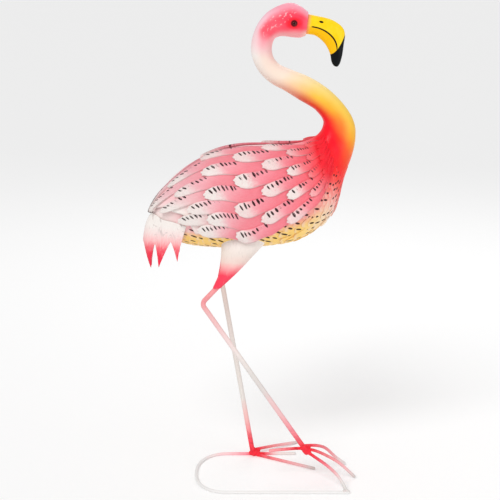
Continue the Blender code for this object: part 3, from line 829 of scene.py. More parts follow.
def bird_colour(graph, uv):
    """The airbrushed bands at a place given by its UV map."""
    along, round_bird, _ = graph.split(uv)
    wobble = graph.noise(object_place(graph), 22.0, 3.0) - 0.5
    place = along + wobble * 0.022
    turn = round_bird * (2 * math.pi)
    front = 0.5 - 0.5 * graph.math("COSINE", turn) + wobble * 0.10
    on_neck = graph.smooth(along, 9.0 / STATIONS, 11.5 / STATIONS)
    on_head = graph.smooth(along, 22.8 / STATIONS, 24.0 / STATIONS)
    back = station_ramp(graph, place, BACK_BANDS)
    side = station_ramp(graph, place, SIDE_BANDS)
    belly = station_ramp(graph, place, FRONT_BANDS)
    low = 0.05 + on_neck * 0.06 - on_head * 0.06
    high = 0.44 + on_neck * 0.14 - on_head * 0.24
    side_share = graph.smooth(front, low, high)
    low = 0.74 - on_neck * 0.20 + on_head * 0.12
    high = 0.88 + on_neck * 0.05
    belly_share = graph.smooth(front, low, high)
    return graph.mix(belly_share, graph.mix(side_share, back, side), belly)


print("stops on back, sides and front:", len(BACK_BANDS), len(SIDE_BANDS), len(FRONT_BANDS))


# %% Marks on the face
CHEEK_RED = (0.95, 0.07, 0.11)
EYE_PATCH = (0.017, 0.012)
EYE_RING = 0.0058


def face_marks(graph, uv, colour):
    """Short pale strokes brushed on the side of the head, and a deep red patch round the eye."""
    along, round_bird, _ = graph.split(uv)
    side = 0.5 - graph.math("ABSOLUTE", round_bird - 0.5)
    station = along * STATIONS
    on_cheek = graph.band(station, (23.0, 24.3), (27.0, 27.8)) * graph.band(side, (0.10, 0.15), (0.24, 0.30))
    deep = graph.band(station, (23.0, 24.6), (26.6, 28.4)) * graph.band(side, (0.09, 0.22), (0.29, 0.38))
    colour = graph.mix(deep * 0.55, colour, CHEEK_RED)
    strokes = graph.noise(graph.join(along * 84.0, side * 34.0 + along * 22.0, 0.0), 1.0, 3.0)
    colour = graph.mix(on_cheek * graph.smooth(strokes, 0.56, 0.66) * 0.65, colour, PALE_PINK)
    x, y, z = graph.split(object_place(graph))
    off_x, off_z = (x - EYE_PLACE[0]) / EYE_PATCH[0], (z - EYE_PLACE[1]) / EYE_PATCH[1]
    near_eye = graph.fades(off_x * off_x + off_z * off_z, 0.2, 1.2)
    colour = graph.mix(near_eye * 0.85, colour, RED)
    ring_x, ring_z = (x - EYE_PLACE[0]) / EYE_RING, (z - EYE_PLACE[1]) / EYE_RING
    ring = graph.fades(ring_x * ring_x + ring_z * ring_z, 0.8, 1.5)
    return graph.mix(ring * 0.7, colour, DARK)


print("eye at x and z:", [round(value, 4) for value in EYE_PLACE])


# %% Body paint
def paint_body():
    """The bands and the face, sprayed over a faint orange peel."""
    made, graph, shader = enamel("feather_paint", 0.34)
    uv = uv_map(graph, "skin")
    colour = face_marks(graph, uv, bird_colour(graph, uv))
    connect(graph, spray(graph, colour, 0.08), shader, "Base Color")
    orange_peel = graph.noise(object_place(graph), 420.0, 2.0)
    connect(graph, bump(graph, orange_peel, 0.00025), shader, "Normal")
    return made


body_paint = paint_body()
print("body paint:", len(body_paint.node_tree.nodes), "nodes")
body.data.materials.append(body_paint)


# %% [markdown]
# ## Wing feather paint
# Each real feather is sprayed pale at its tip and rose at its root, then finished with a brush:
# a few slanted black strokes. A grey painted shade is also laid under its lower edge. A painted
# picture could show that, but it would blur and could not follow the feathers. Here every feather
# carries its own map and a random number, so one material draws all the strokes and the painted
# shade, and no two feathers are alike.

# %% Wing feather paint
FEATHER_MM = 40.0
HALF_WIDTH_MM = 13.0
MARGIN_SHARE = map_share(0.0)
WING_BANDS = (
    (0.0, WHITE), (0.5, (0.91, 0.76, 0.74)), (1.4, (0.93, 0.60, 0.62)), (2.6, (0.94, 0.47, 0.52)),
    (6.0, (0.95, 0.32, 0.38)), (7.4, (0.95, 0.25, 0.30)), (8.3, (0.95, 0.17, 0.20)),
    (8.9, (0.95, 0.08, 0.10)), (9.6, (0.95, 0.015, 0.03)), (12.0, RED),
)


def wing_colour(graph, uv):
    """The wing's broad bands, which lean back towards the lower rear."""
    along, height, _ = graph.split(uv)
    wobble = graph.noise(object_place(graph), 18.0, 3.0) - 0.5
    front_lean = graph.smooth(height, 0.50, 0.90) * 0.10 * graph.smooth(along, 0.40, 0.60)
    rear_lean = graph.smooth(height, 0.35, 0.80) * 0.24 * (1.0 - graph.smooth(along, 0.25, 0.50))
    return station_ramp(graph, along + wobble * 0.10 - front_lean - rear_lean, WING_BANDS, MAP_STATIONS)


print("the wing starts on its map at", round(MARGIN_SHARE, 4))


# %% Strokes of one feather
DASH_PITCH, DASH_FIRST = 7.6, 9.0


def dash_row(graph, x, y, seed):
    """A row of short slanted strokes along the upper side of a feather, in millimetres."""
    cell = graph.math("FLOOR", (x - DASH_FIRST) / DASH_PITCH)
    chance = graph.random(graph.join(cell, seed, 3.0))
    other = graph.random(graph.join(cell, seed, 7.0))
    centre_x = DASH_FIRST + (cell + 0.5) * DASH_PITCH + (other - 0.5) * 2.0
    centre_y = -4.8 - 1.0 * cell + (chance - 0.5) * 2.5
    dx, dy = x - centre_x, y - centre_y
    length = 4.3 + 3.4 * other
    lean = 0.50 + 0.35 * chance
    along = (dx * lean + dy * 0.91) / length
    across = (dx * 0.91 - dy * lean) / (1.5 + 0.7 * other)
    stroke = 1.0 - graph.smooth(along * along + across * across, 0.8, 1.2)
    inside = graph.math("GREATER_THAN", cell, -0.5) * graph.math("LESS_THAN", cell, 5.6 + chance)
    return stroke * inside * graph.math("GREATER_THAN", chance, 0.12)


print("strokes start", DASH_FIRST, "mm from the tip, one every", DASH_PITCH, "mm")


# %% Ground and tip of one feather
def feather_ground(graph, feather, station, streaks, base):
    """A feather's own rose, with fine streaks, and painted shade: deeper rose towards its root, where it runs
    under the tips in front.
    """
    along, sideways = feather
    ground = graph.mix(graph.clamp((streaks - 0.5) * 0.9), base, WHITE)
    ground = graph.mix(graph.clamp((0.5 - streaks) * 0.8), ground, ROSE)
    # Painted shade under the overlapping tips, weaker at the rear of the wing.
    shade_under_tips = graph.smooth(along + sideways * 0.4, 0.9, 2.1) * graph.smooth(station, 1.5, 4.5)
    return graph.mix(shade_under_tips * 0.36, ground, graph.mix(0.5, ROSE, DEEP_ROSE))


def tip_share(graph, feather, seed, wing_place, streaks):
    """How white a feather is: ragged by its streaks and weaker towards the shoulder."""
    along, sideways = feather
    station, height = wing_place
    ragged = along + (streaks - 0.5) * 1.1 - sideways * 0.16
    own = graph.random(graph.join(seed, 5.0, 1.0))
    white = graph.fades(ragged, 0.44, 1.12) * (0.72 + 0.28 * own)
    return white * (1.0 - graph.smooth(station + (0.55 - height) * 2.2, 7.2, 8.8) * 0.95)


print("a feather is painted as", FEATHER_MM, "by", 2 * HALF_WIDTH_MM, "mm")


# %% Shade on the whole wing
def wing_shade(graph, colour, wing_place, top):
    """Painted shade: dark along the wing's upper edge and on the feathers' walls; black at its rear end."""
    station, height = wing_place
    below = height - MARGIN_SHARE
    # Painted shade along the wing's upper edge.
    colour = graph.mix(graph.fades(below, 0.012, 0.03) * 0.25, colour, DARK)
    black = graph.fades(below, 0.07, 0.10) * graph.fades(station, 0.8, 1.3)
    colour = graph.mix(black * 0.8, colour, DARK)
    # Painted shade on the feathers' walls, weaker at the rear and near the upper edge.
    shade = 0.12 + 0.68 * graph.smooth(station, 1.8, 4.5)
    shade = shade * (0.25 + 0.75 * graph.smooth(below, 0.03, 0.14))
    return graph.mix((1.0 - top) * shade, colour, SHADE)


print("the shade goes from", SHADE, "to", DARK)


# %% The wing paint put together
def paint_feathers():
    made, graph, shader = enamel("wing_paint", 0.36)
    along, sideways, _ = graph.split(uv_map(graph, "feather"))
    seed = graph.attribute("seed")
    region, height, _ = graph.split(uv_map(graph, "skin"))
    station = region * MAP_STATIONS
    base = wing_colour(graph, uv_map(graph, "skin"))
    streak_place = graph.join(along * 2.5, sideways * 9.0 + along * 1.5, seed * 40.0)
    streaks = graph.noise(streak_place, 3.0, 3.0)
    ground = feather_ground(graph, (along, sideways), station, streaks, base)
    white = tip_share(graph, (along, sideways), seed, (station, height), streaks)
    colour = graph.mix(white, ground, WHITE)

    off_middle = graph.math("ABSOLUTE", sideways)
    barb_place = graph.join(along * 12.0 + off_middle * 6.0, sideways * 5.0, seed * 40.0)
    barb_lines = graph.smooth(graph.noise(barb_place, 2.2, 2.0), 0.52, 0.72)
    colour = graph.mix(barb_lines * 0.35, colour, graph.mix(0.5, ground, ROSE))
    rim = graph.smooth(off_middle + (streaks - 0.5) * 0.6, 0.72, 1.0)
    colour = graph.mix(rim * 0.45, colour, ground)
    calm = graph.smooth(station - graph.smooth(height, 0.50, 0.90), 8.3, 9.5)
    colour = graph.mix(calm * 0.85, colour, base)

    # Painted shade: grey along each feather's lower edge, under its tip, weaker near the shoulder.
    shade_under_edge = graph.smooth(sideways, 0.80, 0.97) * graph.fades(along, 1.0, 1.9)
    colour = graph.mix(shade_under_edge * 0.55 * (1.0 - calm * 0.8), colour, GREY)
    stroke = dash_row(graph, along * FEATHER_MM, sideways * HALF_WIDTH_MM, seed)
    colour = graph.mix(stroke * 0.98 * (1.0 - calm * 0.85), colour, DARK)
    colour = wing_shade(graph, colour, (station, height), graph.attribute("top"))
    connect(graph, spray(graph, colour, 0.12), shader, "Base Color")
    barbs = graph.noise(graph.join(along * 6.0, sideways * 30.0, seed * 40.0), 2.0, 2.0)
    connect(graph, bump(graph, barbs, 0.0006), shader, "Normal")
    return made


wing_paint = paint_feathers()
print("wing paint:", len(wing_paint.node_tree.nodes), "nodes")

# %% [markdown]
# ## Wings
# Each real wing is one pressed sheet with rows of raised feathers. Here the sheet is a grid with
# a wall, and the feathers are laid on it by the tree: eight columns from the rear to the
# shoulder, every other column half a feather out of step, so that each feather shows its tip
# and a strip between its two neighbours in front.

# %% Wing layout
FEATHER_TIPS = (9.6, 8.4, 7.15, 5.95, 4.7, 3.3, 1.65, 0.1)
FEATHERS_ACROSS = 4
FEATHER_OFFSET = 0.1875
FEATHER_HALF_WIDTH = 0.29
FEATHER_LIFT = 4.4 * MM
FEATHER_OVERLAP = 0.45
FEATHER_LEAST_LIFT = 0.15
LIFT_END = 10.6
LIFT_RUN = 2.4
FEATHER_ROUNDNESS = 0.4
FEATHER_MOST_ROUNDNESS = 0.72
SHOULDER_END = 11.0
SLANT_START = 3.3
SLANT_RUN = 2.8


def layout_object(name, rows):
    """Feather points with their sizes as attributes. Each row holds the fields in order."""
    mesh = bpy.data.meshes.new(name)
    mesh.from_pydata([(row[0], row[1], 0.0) for row in rows], [], [])
    for index, field in enumerate(FIELDS):
        set_attribute(mesh, field, [row[index] for row in rows])
    return link(name, mesh)


def wing_rows(seed):
    """The wing's feathers, rear column first."""
    random = np.random.default_rng(seed)
    rows = []
    for column in range(len(FEATHER_TIPS) - 1, -1, -1):
        tip = FEATHER_TIPS[column]
        lean = min(max((SLANT_START - tip) / SLANT_RUN, 0.0), 1.0)
        front = FEATHER_TIPS[column - 2] if column > 1 else SHOULDER_END + 0.2 * column
        for k in range(FEATHERS_ACROSS):
            across = FEATHER_OFFSET - column % 2 * 0.5 / FEATHERS_ACROSS + k / FEATHERS_ACROSS
            turn = wing_turn(np.array([tip]), np.array([across]))
            station = tip + lean * float(look_up(REAR_SLANT, turn)[0])
            fade = float(eased((LIFT_END - station) / LIFT_RUN)) * (0.75 + 0.25 * float(eased(across / 0.22)))
            length = front - station + FEATHER_OVERLAP
            rows.append((
                station,
                across,
                length,
                FEATHER_HALF_WIDTH / FEATHERS_ACROSS,
                FEATHER_LIFT * max(fade, FEATHER_LEAST_LIFT),
                min(FEATHER_MOST_ROUNDNESS, length * FEATHER_ROUNDNESS),
                random.random(),
            ))
    return rows


print("feathers on a wing:", len(FEATHER_TIPS) * FEATHERS_ACROSS)


# %% Lay the feathers
def set_input(modifier, name, value):
    """Sets a tree's named input through its socket's identifier."""
    for item in modifier.node_group.interface.items_tree:
        if item.in_out == "INPUT" and item.name == name:
            modifier[item.identifier] = value


def lay_feathers(name, rows, chart, tree, paint, thickness, crown):
    """Feathers as a plain mesh on a map."""
    made = layout_object(name, rows)
    modifier = made.modifiers.new("feathers", "NODES")
    modifier.node_group = tree
    for socket, value in (("Map", chart), ("Paint", paint), ("Thickness", thickness), ("Crown", crown)):
        set_input(modifier, socket, value)
    settled(made)
    finish_mesh(made.data)
    return made


print("a feather tree takes:", [socket for socket, _ in FEATHER_INPUTS])


# %% Wing sheet
SHEET_ROWS, SHEET_COLUMNS = 72, 40
SHEET_REAR_INSET = 0.5
EDGE_ROUNDS = 6


def make_wing_sheet(name, side):
    """The sheet under the feathers, with a wall."""
    shares = np.linspace(0.0, 1.0, SHEET_ROWS)
    acrosses = np.linspace(0.0, 1.0, SHEET_COLUMNS)
    stations = np.zeros((SHEET_ROWS, SHEET_COLUMNS))
    for j, across in enumerate(acrosses):
        front = rear = np.array([5.0])
        for _ in range(EDGE_ROUNDS):
            front = look_up(WING_FRONT, wing_turn(front, across))
            rear = SHEET_REAR_INSET + look_up(REAR_SLANT, wing_turn(rear, across))
        stations[:, j] = rear[0] + (front[0] - rear[0]) * shares
    grid_stations = stations.ravel()
    grid_acrosses = np.tile(acrosses, SHEET_ROWS)
    turns = side_turn(wing_turn(grid_stations, grid_acrosses), side)
    made = grid_object(
        name,
        raised(grid_stations, turns, wing_lift(grid_stations, grid_acrosses)),
        (SHEET_ROWS, SHEET_COLUMNS),
        lambda i, j: (stations[i, j] / MAP_STATIONS, map_share(acrosses[j])),
    )
    wall = made.modifiers.new("wall", "SOLIDIFY")
    wall.thickness = SHEET
    wall.offset = -1.0
    settled(made)
    feather_uv = made.data.uv_layers.new(name="feather")
    feather_uv.data.foreach_set("uv", np.tile(np.array([3.0, 0.0], np.float32), len(made.data.loops)))
    for field, value in (("top", 1.0), ("seed", 0.0)):
        set_attribute(made.data, field, np.full(len(made.data.vertices), value))
    made.data.materials.append(wing_paint)
    return made


def joined(name, pieces):
    """Several mesh objects as one."""
    for item in bpy.context.scene.objects:
        item.select_set(False)
    for piece in pieces:
        piece.select_set(True)
    bpy.context.view_layer.objects.active = pieces[0]
    bpy.ops.object.join()
    pieces[0].name = name
    pieces[0].data.name = name
    return pieces[0]


print("the wing sheet has", (SHEET_ROWS - 1) * (SHEET_COLUMNS - 1), "faces before its wall")


# %% Both wings
FEATHER_SEED = 7
FEATHER_SHEET = 0.9 * MM
FEATHER_CROWN = 1.6 * MM
wing_tree = feather_tree("wing_feathers", 18, 17, MAP_STATIONS)
wings = []
for side, word in ((RIGHT, "right"), (LEFT, "left")):
    chart = make_wing_map(word + "_wing_map", side)
    rows = wing_rows(FEATHER_SEED)
    feathers = lay_feathers(
        word + "_feathers", rows, chart, wing_tree, wing_paint, FEATHER_SHEET, FEATHER_CROWN
    )
    wing = joined(word + "_wing_feathered", [make_wing_sheet(word + "_sheet", side), feathers])
    bpy.data.objects.remove(chart)
    wings.append(wing)
    print(wing.name, "triangles:", count(wing))


# %% [markdown]
# ## Breast and belly feathers
# Below and in front of the wings the real shell is chased with rows of small pointed feathers.
# Cut into the shell they would need a very fine mesh, and a bump alone would leave its outline
# smooth. They are laid by the same tree on a map of the whole body, whose UV map is the body's
# own, so the body's paint bands run on over them.

# %% Small feathers
SMALL_ROWS = np.arange(1.4, 11.6, 0.36)
SMALL_PER_TURN = 30
SMALL_SEED = 11
SMALL_LENGTH = 0.95
SMALL_HALF_WIDTH = 0.62 / SMALL_PER_TURN * 1.3
SMALL_LIFT = 1.3 * MM
SMALL_ROUNDNESS = 0.34
SMALL_SHEET = 0.35 * MM
SMALL_CROWN = 0.5 * MM
SMALL_JITTER = 0.16
SMALL_START, SMALL_START_RUN = 0.6, 1.4
SMALL_END, SMALL_END_RUN = 11.9, 2.2
SMALL_REACH = 112.0
CHEST_START = 10.2
CHEST_REACH = 75.0
BELLY_START = 6.6
UNDER_WING = 14.0
BEHIND_WING_FRONT = 0.9


def body_turn(station, across):
    return 360.0 * map_share(across)


def no_lift(station, across):
    return np.zeros_like(station)


def covered(station, turn):
    """Whether a place lies well under a wing."""
    turn = min(turn, 360.0 - turn)
    inside = turn < float(look_up(WING_BOTTOM, np.array([station]))[0]) - UNDER_WING
    return inside and station < float(look_up(WING_FRONT, np.array([turn]))[0]) - BEHIND_WING_FRONT


def small_rows(seed):
    """The small feathers, rear row first, with the raggedest lift along the belly."""
    random = np.random.default_rng(seed)
    rows = []
    for index, row in enumerate(SMALL_ROWS):
        for k in range(SMALL_PER_TURN):
            turn = 360.0 * (k + 0.5 * (index % 2) + 0.25 * random.random()) / SMALL_PER_TURN
            station = row + SMALL_JITTER * (random.random() - 0.5)
            off = abs(turn - 180.0)
            if off > SMALL_REACH or covered(station + 0.4, turn):
                continue
            if station > CHEST_START and off > CHEST_REACH:
                continue
            fade = float(eased((SMALL_END - station) / SMALL_END_RUN))
            fade *= float(eased((station - SMALL_START) / SMALL_START_RUN))
            low = float(eased(1.2 - off / 60.0)) * (station > BELLY_START)
            ragged = 1.0 + 2.6 * random.random() * low
            rows.append((
                station,
                turn / 360.0 * MAP_SPAN - MAP_MARGIN,
                SMALL_LENGTH,
                SMALL_HALF_WIDTH,
                SMALL_LIFT * fade * ragged,
                SMALL_ROUNDNESS,
                random.random(),
            ))
    return rows


small_tree = feather_tree("small_feathers", 8, 6, STATIONS)


BODY_MAP_GRID = (110, 91)
BODY_MAP_END = 13.5
BODY_MAP_EDGE = 0.05


def make_body_map():
    stations = np.linspace(0.0, BODY_MAP_END, BODY_MAP_GRID[0])
    acrosses = np.linspace(BODY_MAP_EDGE, 1 - BODY_MAP_EDGE, BODY_MAP_GRID[1])
    return map_object("body_map", RIGHT, body_turn, no_lift, stations, acrosses, STATIONS)


print("small feathers: at most", len(SMALL_ROWS) * SMALL_PER_TURN)


# %% Small feather paint
def paint_small():
    """The body's bands, with a pale tip and one slanted dash on each small feather, and painted shade on its
    walls.
    """
    made, graph, shader = enamel("breast_paint", 0.36)
    uv = uv_map(graph, "skin")
    along, sideways, _ = graph.split(uv_map(graph, "feather"))
    seed = graph.attribute("seed")
    colour = bird_colour(graph, uv)
    place, round_bird, _ = graph.split(uv)
    tip = graph.fades(along, 0.02, 0.22)
    tip = tip * (1.0 - graph.smooth(place, 9.8 / STATIONS, 11.2 / STATIONS) * 0.85)
    colour = graph.mix(tip * 0.45, colour, CREAM)
    facing = 1.0 - 2.0 * graph.math("GREATER_THAN", round_bird, 0.5)
    x, y = along - 0.26, sideways * 0.30 * facing
    across = (y - x * 0.8) / 0.07
    length = (x + y * 0.8) / (0.15 + 0.14 * seed)
    dash = 1.0 - graph.smooth(across * across + length * length, 0.8, 1.2)
    dash = dash * graph.math("GREATER_THAN", seed, 0.20)
    dash = dash * graph.fades(place, 11.3 / STATIONS, 11.9 / STATIONS)
    colour = graph.mix(dash * 0.96, colour, DARK)
    # Painted shade on the walls of the small feathers.
    top = graph.attribute("top")
    colour = graph.mix((1.0 - top) * 0.4, colour, SHADE)
    connect(graph, spray(graph, colour, 0.14), shader, "Base Color")
    return made


small_paint = paint_small()
body_map = make_body_map()
rows = small_rows(SMALL_SEED)
small = lay_feathers("breast_feathers", rows, body_map, small_tree, small_paint, SMALL_SHEET, SMALL_CROWN)
bpy.data.objects.remove(body_map)
print("small feathers, triangles:", count(small))

# %% [markdown]
# ## Tail
# On the real bird one sheet is folded round the rump and welded to it. Its lower rim hangs free
# and is cut into points, and each point is creased down its middle. It could be cut from a flat
# sheet with a boolean and bent, but then its upper rim would not meet the skin. Here each column
# of a grid hangs from the skin to its own depth, and a modifier gives the sheet its wall.

# %% Tail sheet
TAIL_SHEET = 1.5 * MM
WELD_GAP = 0.3 * MM
TAIL_UPPER_RIM = ((0.08, 6.0), (0.4, 52.0), (0.9, 85.0), (1.5, 100.0), (2.15, 113.0))
TAIL_LOWER_RIM = ((-201, 0, 459), (-195, 12, 457), (-174.6, 23, 456), (-147.6, 33, 462), (-127.5, 38, 461))
TAIL_SPIKES = ((0.27, 50, 7), (0.60, 46, -7), (0.87, 37, 2))
TAIL_NOTCHES = (0.0, 0.47, 0.75, 1.0)
TAIL_SPLAY = 5.0
TAIL_BOW = 4.5 * MM
TAIL_BOW_END = 0.40
TAIL_CREASE = 1.3 * MM
TAIL_DOWN = 56
TAIL_HALF_SPIKE = 12
print("the tail's points hang", [length for _, length, _ in TAIL_SPIKES], "mm below its rim")


# %% Columns of the tail
def curve_through(rows, places):
    """The Catmull-Rom curve through rows, at places from 0 to len(rows) - 1."""
    rows = np.asarray(rows, float)
    rows = np.vstack([2 * rows[0] - rows[1], rows, 2 * rows[-1] - rows[-2]])
    places = np.clip(np.asarray(places, float), 0.0, len(rows) - 3 - 1e-9)
    step = places.astype(int)
    along = (places - step)[:, None]
    return catmull_rom(*(rows[step + offset] for offset in range(4)), along)


def tail_point(share):
    """How far the tail hangs below its rim at a share from the fold, its lean and its crease."""
    for index, (tip, length, lean) in enumerate(TAIL_SPIKES):
        before, after = TAIL_NOTCHES[index], TAIL_NOTCHES[index + 1]
        if share <= after:
            rising = (share - before) / (tip - before) if share <= tip else (after - share) / (after - tip)
            return length * rising**1.3, lean / length, rising
    return 0.0, 0.0, 0.0


def tail_column(share, side):
    """The tail's points from the rim to the tip, at a share from the fold to the front edge."""
    place, degrees = curve_through(TAIL_UPPER_RIM, [share * (len(TAIL_UPPER_RIM) - 1)])[0]
    turn = side_turn(degrees, side)
    upper = raised(np.array([place]), np.array([turn]), WELD_GAP + TAIL_SHEET)[0]
    lower = curve_through(TAIL_LOWER_RIM, [share * (len(TAIL_LOWER_RIM) - 1)])[0] * MM
    lower[1] *= side
    if share == 0:
        upper[1] = lower[1] = 0
    hang, lean, rising = tail_point(share)
    splay = TAIL_SPLAY * side / TAIL_SPIKES[0][1] if share < TAIL_NOTCHES[1] else 0
    drop = upper[2] - lower[2]
    down = (drop + hang * MM) * np.linspace(0.0, 1.0, TAIL_DOWN)
    below = np.maximum(down - drop, 0.0)
    column = upper + (lower - upper) * np.minimum(down / drop, 1.0)[:, None]
    bow = TAIL_BOW * eased(1 - share / TAIL_BOW_END) * np.sin(math.pi * np.minimum(down / drop, 1.0) ** 0.7)
    column[:, 0] += below * lean - bow
    column[:, 1] -= below * splay
    column[:, 2] -= below
    crease = TAIL_CREASE * (rising - 0.5) * eased(down / (drop + 0.01) - 0.35) * min(share / 0.12, 1.0)
    column[:, 1] += side * crease
    return column


print("at the fold the tail ends at z", tail_column(0.0, RIGHT)[-1, 2].round(4))


# %% Tail mesh
def make_tail():
    """The columns side by side, from the right front edge over the fold to the left one."""
    corners = [0.0]
    for (tip, _, _), notch in zip(TAIL_SPIKES, TAIL_NOTCHES[1:]):
        corners += [tip, notch]
    shares = [np.linspace(a, b, TAIL_HALF_SPIKE, endpoint=False) for a, b in zip(corners, corners[1:])]
    shares = np.append(np.concatenate(shares), corners[-1])
    order = [(share, RIGHT) for share in shares[::-1]] + [(share, LEFT) for share in shares[1:]]
    columns = [tail_column(share, side) for share, side in order]
    made = grid_object(
        "tail_sheet",
        np.concatenate(columns),
        (len(columns), TAIL_DOWN),
        lambda i, j: (i / (len(columns) - 1), j / (TAIL_DOWN - 1)),
    )
    wall = made.modifiers.new("wall", "SOLIDIFY")
    wall.thickness = TAIL_SHEET
    wall.offset = 0
    return settled(made)


TAIL_BANDS = (
    (0.405, (0.80, 0.02, 0.06)), (0.436, (0.88, 0.04, 0.08)), (0.449, (0.92, 0.16, 0.20)),
    (0.459, (0.95, 0.45, 0.46)), (0.474, (0.92, 0.72, 0.70)), (0.49, WHITE), (0.56, WHITE),
)
TAIL_LOW, TAIL_HIGH = 0.40, 0.58


def height_ramp(graph, height, low, high, bands):
    """A colour ramp whose stops are heights in metres."""
    stops = [((z - low) / (high - low), colour) for z, colour in bands]
    return graph.ramp(stops, (height - low) / (high - low))


print("columns of the tail a side:", 2 * TAIL_HALF_SPIKE * len(TAIL_SPIKES) + 1)


# %% Tail paint
def paint_tail():
    """Bands by height, white at the points, with fine ribs down the sheet."""
    made, graph, shader = enamel("tail_paint", 0.36)
    share, down, _ = graph.split(uv_map(graph, "skin"))
    _, _, height = graph.split(object_place(graph))
    strokes = graph.noise(graph.join(share * 46.0, down * 4.0, share * 3.0), 1.6, 3.0)
    colour = height_ramp(graph, height + (strokes - 0.5) * 0.022, TAIL_LOW, TAIL_HIGH, TAIL_BANDS)
    lines = graph.noise(graph.join(share * 17.0 + down * 4.0, down * 3.0, share), 1.6, 2.0)
    line = graph.smooth(lines, 0.57, 0.62) * graph.smooth(height, 0.462, 0.485)
    colour = graph.mix(line * 0.65, colour, GREY)
    light = graph.smooth(1.0 - strokes, 0.58, 0.70)
    colour = graph.mix(light * 0.30, colour, WHITE)
    connect(graph, spray(graph, colour, 0.12), shader, "Base Color")
    connect(graph, bump(graph, strokes, 0.0012), shader, "Normal")
    return made


tail = make_tail()
tail.data.materials.append(paint_tail())
print("tail triangles:", count(tail))

# %% [markdown]
# ## Beak
# The real beak is a bent horn of sheet, welded to the face. It could be modelled anew, but the
# rings read from its solid, like the body's, keep its true form. The mouth is a groove at a
# nearly constant turn from the top, the nostril is a dent, and both are painted black like the
# tip, because paint alone would look flat from the side.

# %% Beak
BEAK_SIDES = 16
BEAK_SPANS = 9.0
BEAK_ROWS, BEAK_COLUMNS = 150, 120
MOUTH_TURN = 98.0
MOUTH_START, MOUTH_END = 0.25, 5.4
MOUTH_DEPTH = 0.9 * MM
NOSTRIL = (1.25, 58.0)
NOSTRIL_DEPTH = 0.9 * MM
BEAK_TIP = 0.8 * MM
beak_harmonics = harmonics_of(loft_rings("beak", BEAK_SIDES, face_place))


def make_beak():
    spans = np.linspace(0.0, BEAK_SPANS, BEAK_ROWS)
    turns = np.linspace(0.0, 360.0, BEAK_COLUMNS, endpoint=False)
    grid_spans, grid_turns = crossed(spans, turns)
    rings = grid_spans * (len(beak_harmonics) - 1) / BEAK_SPANS
    places = on_loft(beak_harmonics, rings, np.radians(grid_turns))
    centres = on_loft(beak_harmonics, rings, np.radians(grid_turns + 180.0)) * 0.5 + places * 0.5
    folded = np.minimum(grid_turns, 360.0 - grid_turns)
    in_mouth = eased((grid_spans - MOUTH_START) / 0.5) * eased((MOUTH_END - grid_spans) / 0.6)
    groove = in_mouth * np.exp(-(((folded - MOUTH_TURN) / 3.2) ** 2)) * MOUTH_DEPTH
    off_span, off_turn = (grid_spans - NOSTRIL[0]) / 0.13, (folded - NOSTRIL[1]) / 3.6
    dent = np.exp(-(off_span**2) - off_turn**2) * NOSTRIL_DEPTH
    inwards = centres - places
    inwards /= np.linalg.norm(inwards, axis=1, keepdims=True)
    places += inwards * (groove + dent)[:, None]
    middles = places.reshape(BEAK_ROWS, BEAK_COLUMNS, 3).mean(axis=1)
    onwards = middles[-1] - middles[-3]
    return grid_object(
        "beak_horn",
        places,
        (BEAK_ROWS, BEAK_COLUMNS),
        lambda i, j: (spans[i] / BEAK_SPANS, j / BEAK_COLUMNS),
        closed_round=True,
        start=middles[0],
        end=middles[-1] + onwards / np.linalg.norm(onwards) * BEAK_TIP,
    )


print("rings of the beak solid:", len(beak_harmonics))


# %% Beak paint
def paint_beak():
    """Yellow above and orange below, black at the tip, in the mouth and in the nostrils."""
    made, graph, shader = enamel("beak_paint", 0.26)
    span, round_beak, _ = graph.split(uv_map(graph, "skin"))
    span = span * BEAK_SPANS
    turn = 180.0 - graph.math("ABSOLUTE", round_beak * 360.0 - 180.0)
    lower = graph.smooth(turn, MOUTH_TURN - 2.0, MOUTH_TURN + 4.0)
    blotch = graph.noise(object_place(graph), 70.0, 3.0) - 0.5
    yellow = graph.mix(graph.clamp(0.45 + blotch * 1.4), (0.96, 0.60, 0.0), (0.95, 0.72, 0.03))
    colour = graph.mix(lower * 0.8, yellow, (0.96, 0.48, 0.0))
    root = 1.0 - graph.smooth(span + blotch * 0.3, 0.05, 0.40)
    colour = graph.mix(root * 0.75, colour, (0.95, 0.36, 0.16))
    sine = graph.math("SINE", turn * (math.pi / 180.0))
    border = 4.85 + 0.6 * sine * sine
    black = graph.smooth(span, border - 0.06, border + 0.06)
    off = graph.math("ABSOLUTE", turn - MOUTH_TURN)
    mouth = graph.band(span, (0.35, 0.55), (5.3, 5.5)) * graph.fades(off, 3.2, 4.8)
    x, y = (span - NOSTRIL[0]) / 0.24, (turn - NOSTRIL[1]) / 7.5
    nostril = 1.0 - graph.smooth(x * x + y * y, 0.7, 1.1)
    dark = graph.math("MAXIMUM", black, graph.math("MAXIMUM", mouth, nostril))
    connect(graph, graph.mix(dark, colour, (0.002, 0.003, 0.004)), shader, "Base Color")
    return made


beak = make_beak()
beak.data.materials.append(paint_beak())
print("beak triangles:", count(beak))

# %% [markdown]
# ## Eyes
# Each real eye is a small polished bead, set in a dark ring. A plain black ball would do from
# afar, but close up it needs its iris. One flattened ball carries both: the brown of the iris is
# painted as a ring of fibres by the distance from the bead's middle.

# %% Eyes
EYE_FLATTENING = 0.8
EYE_RADIUS = (eye_high.x - eye_low.x) / 2
EYE_BLACK = (0.008, 0.002, 0.003)
IRIS_BROWN = (0.22, 0.012, 0.012)


def make_eye(word, side):
    """A polished bead at the place of its solid."""
    low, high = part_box(word + "_eye")
    centre = (low + high) / 2
    radius = (high.x - low.x) / 2
    outer = high.y if side == LEFT else low.y
    shell = bmesh.new()
    bmesh.ops.create_uvsphere(shell, u_segments=40, v_segments=24, radius=radius)
    for vertex in shell.verts:
        x, y, z = vertex.co
        vertex.co = (centre.x + x, outer - side * radius * EYE_FLATTENING + z * EYE_FLATTENING, centre.z + y)
    mesh = bpy.data.meshes.new(word + "_eye_bead")
    shell.to_mesh(mesh)
    shell.free()
    finish_mesh(mesh)
    mesh.materials.append(eye_paint)
    return link(word + "_eye_bead", mesh)


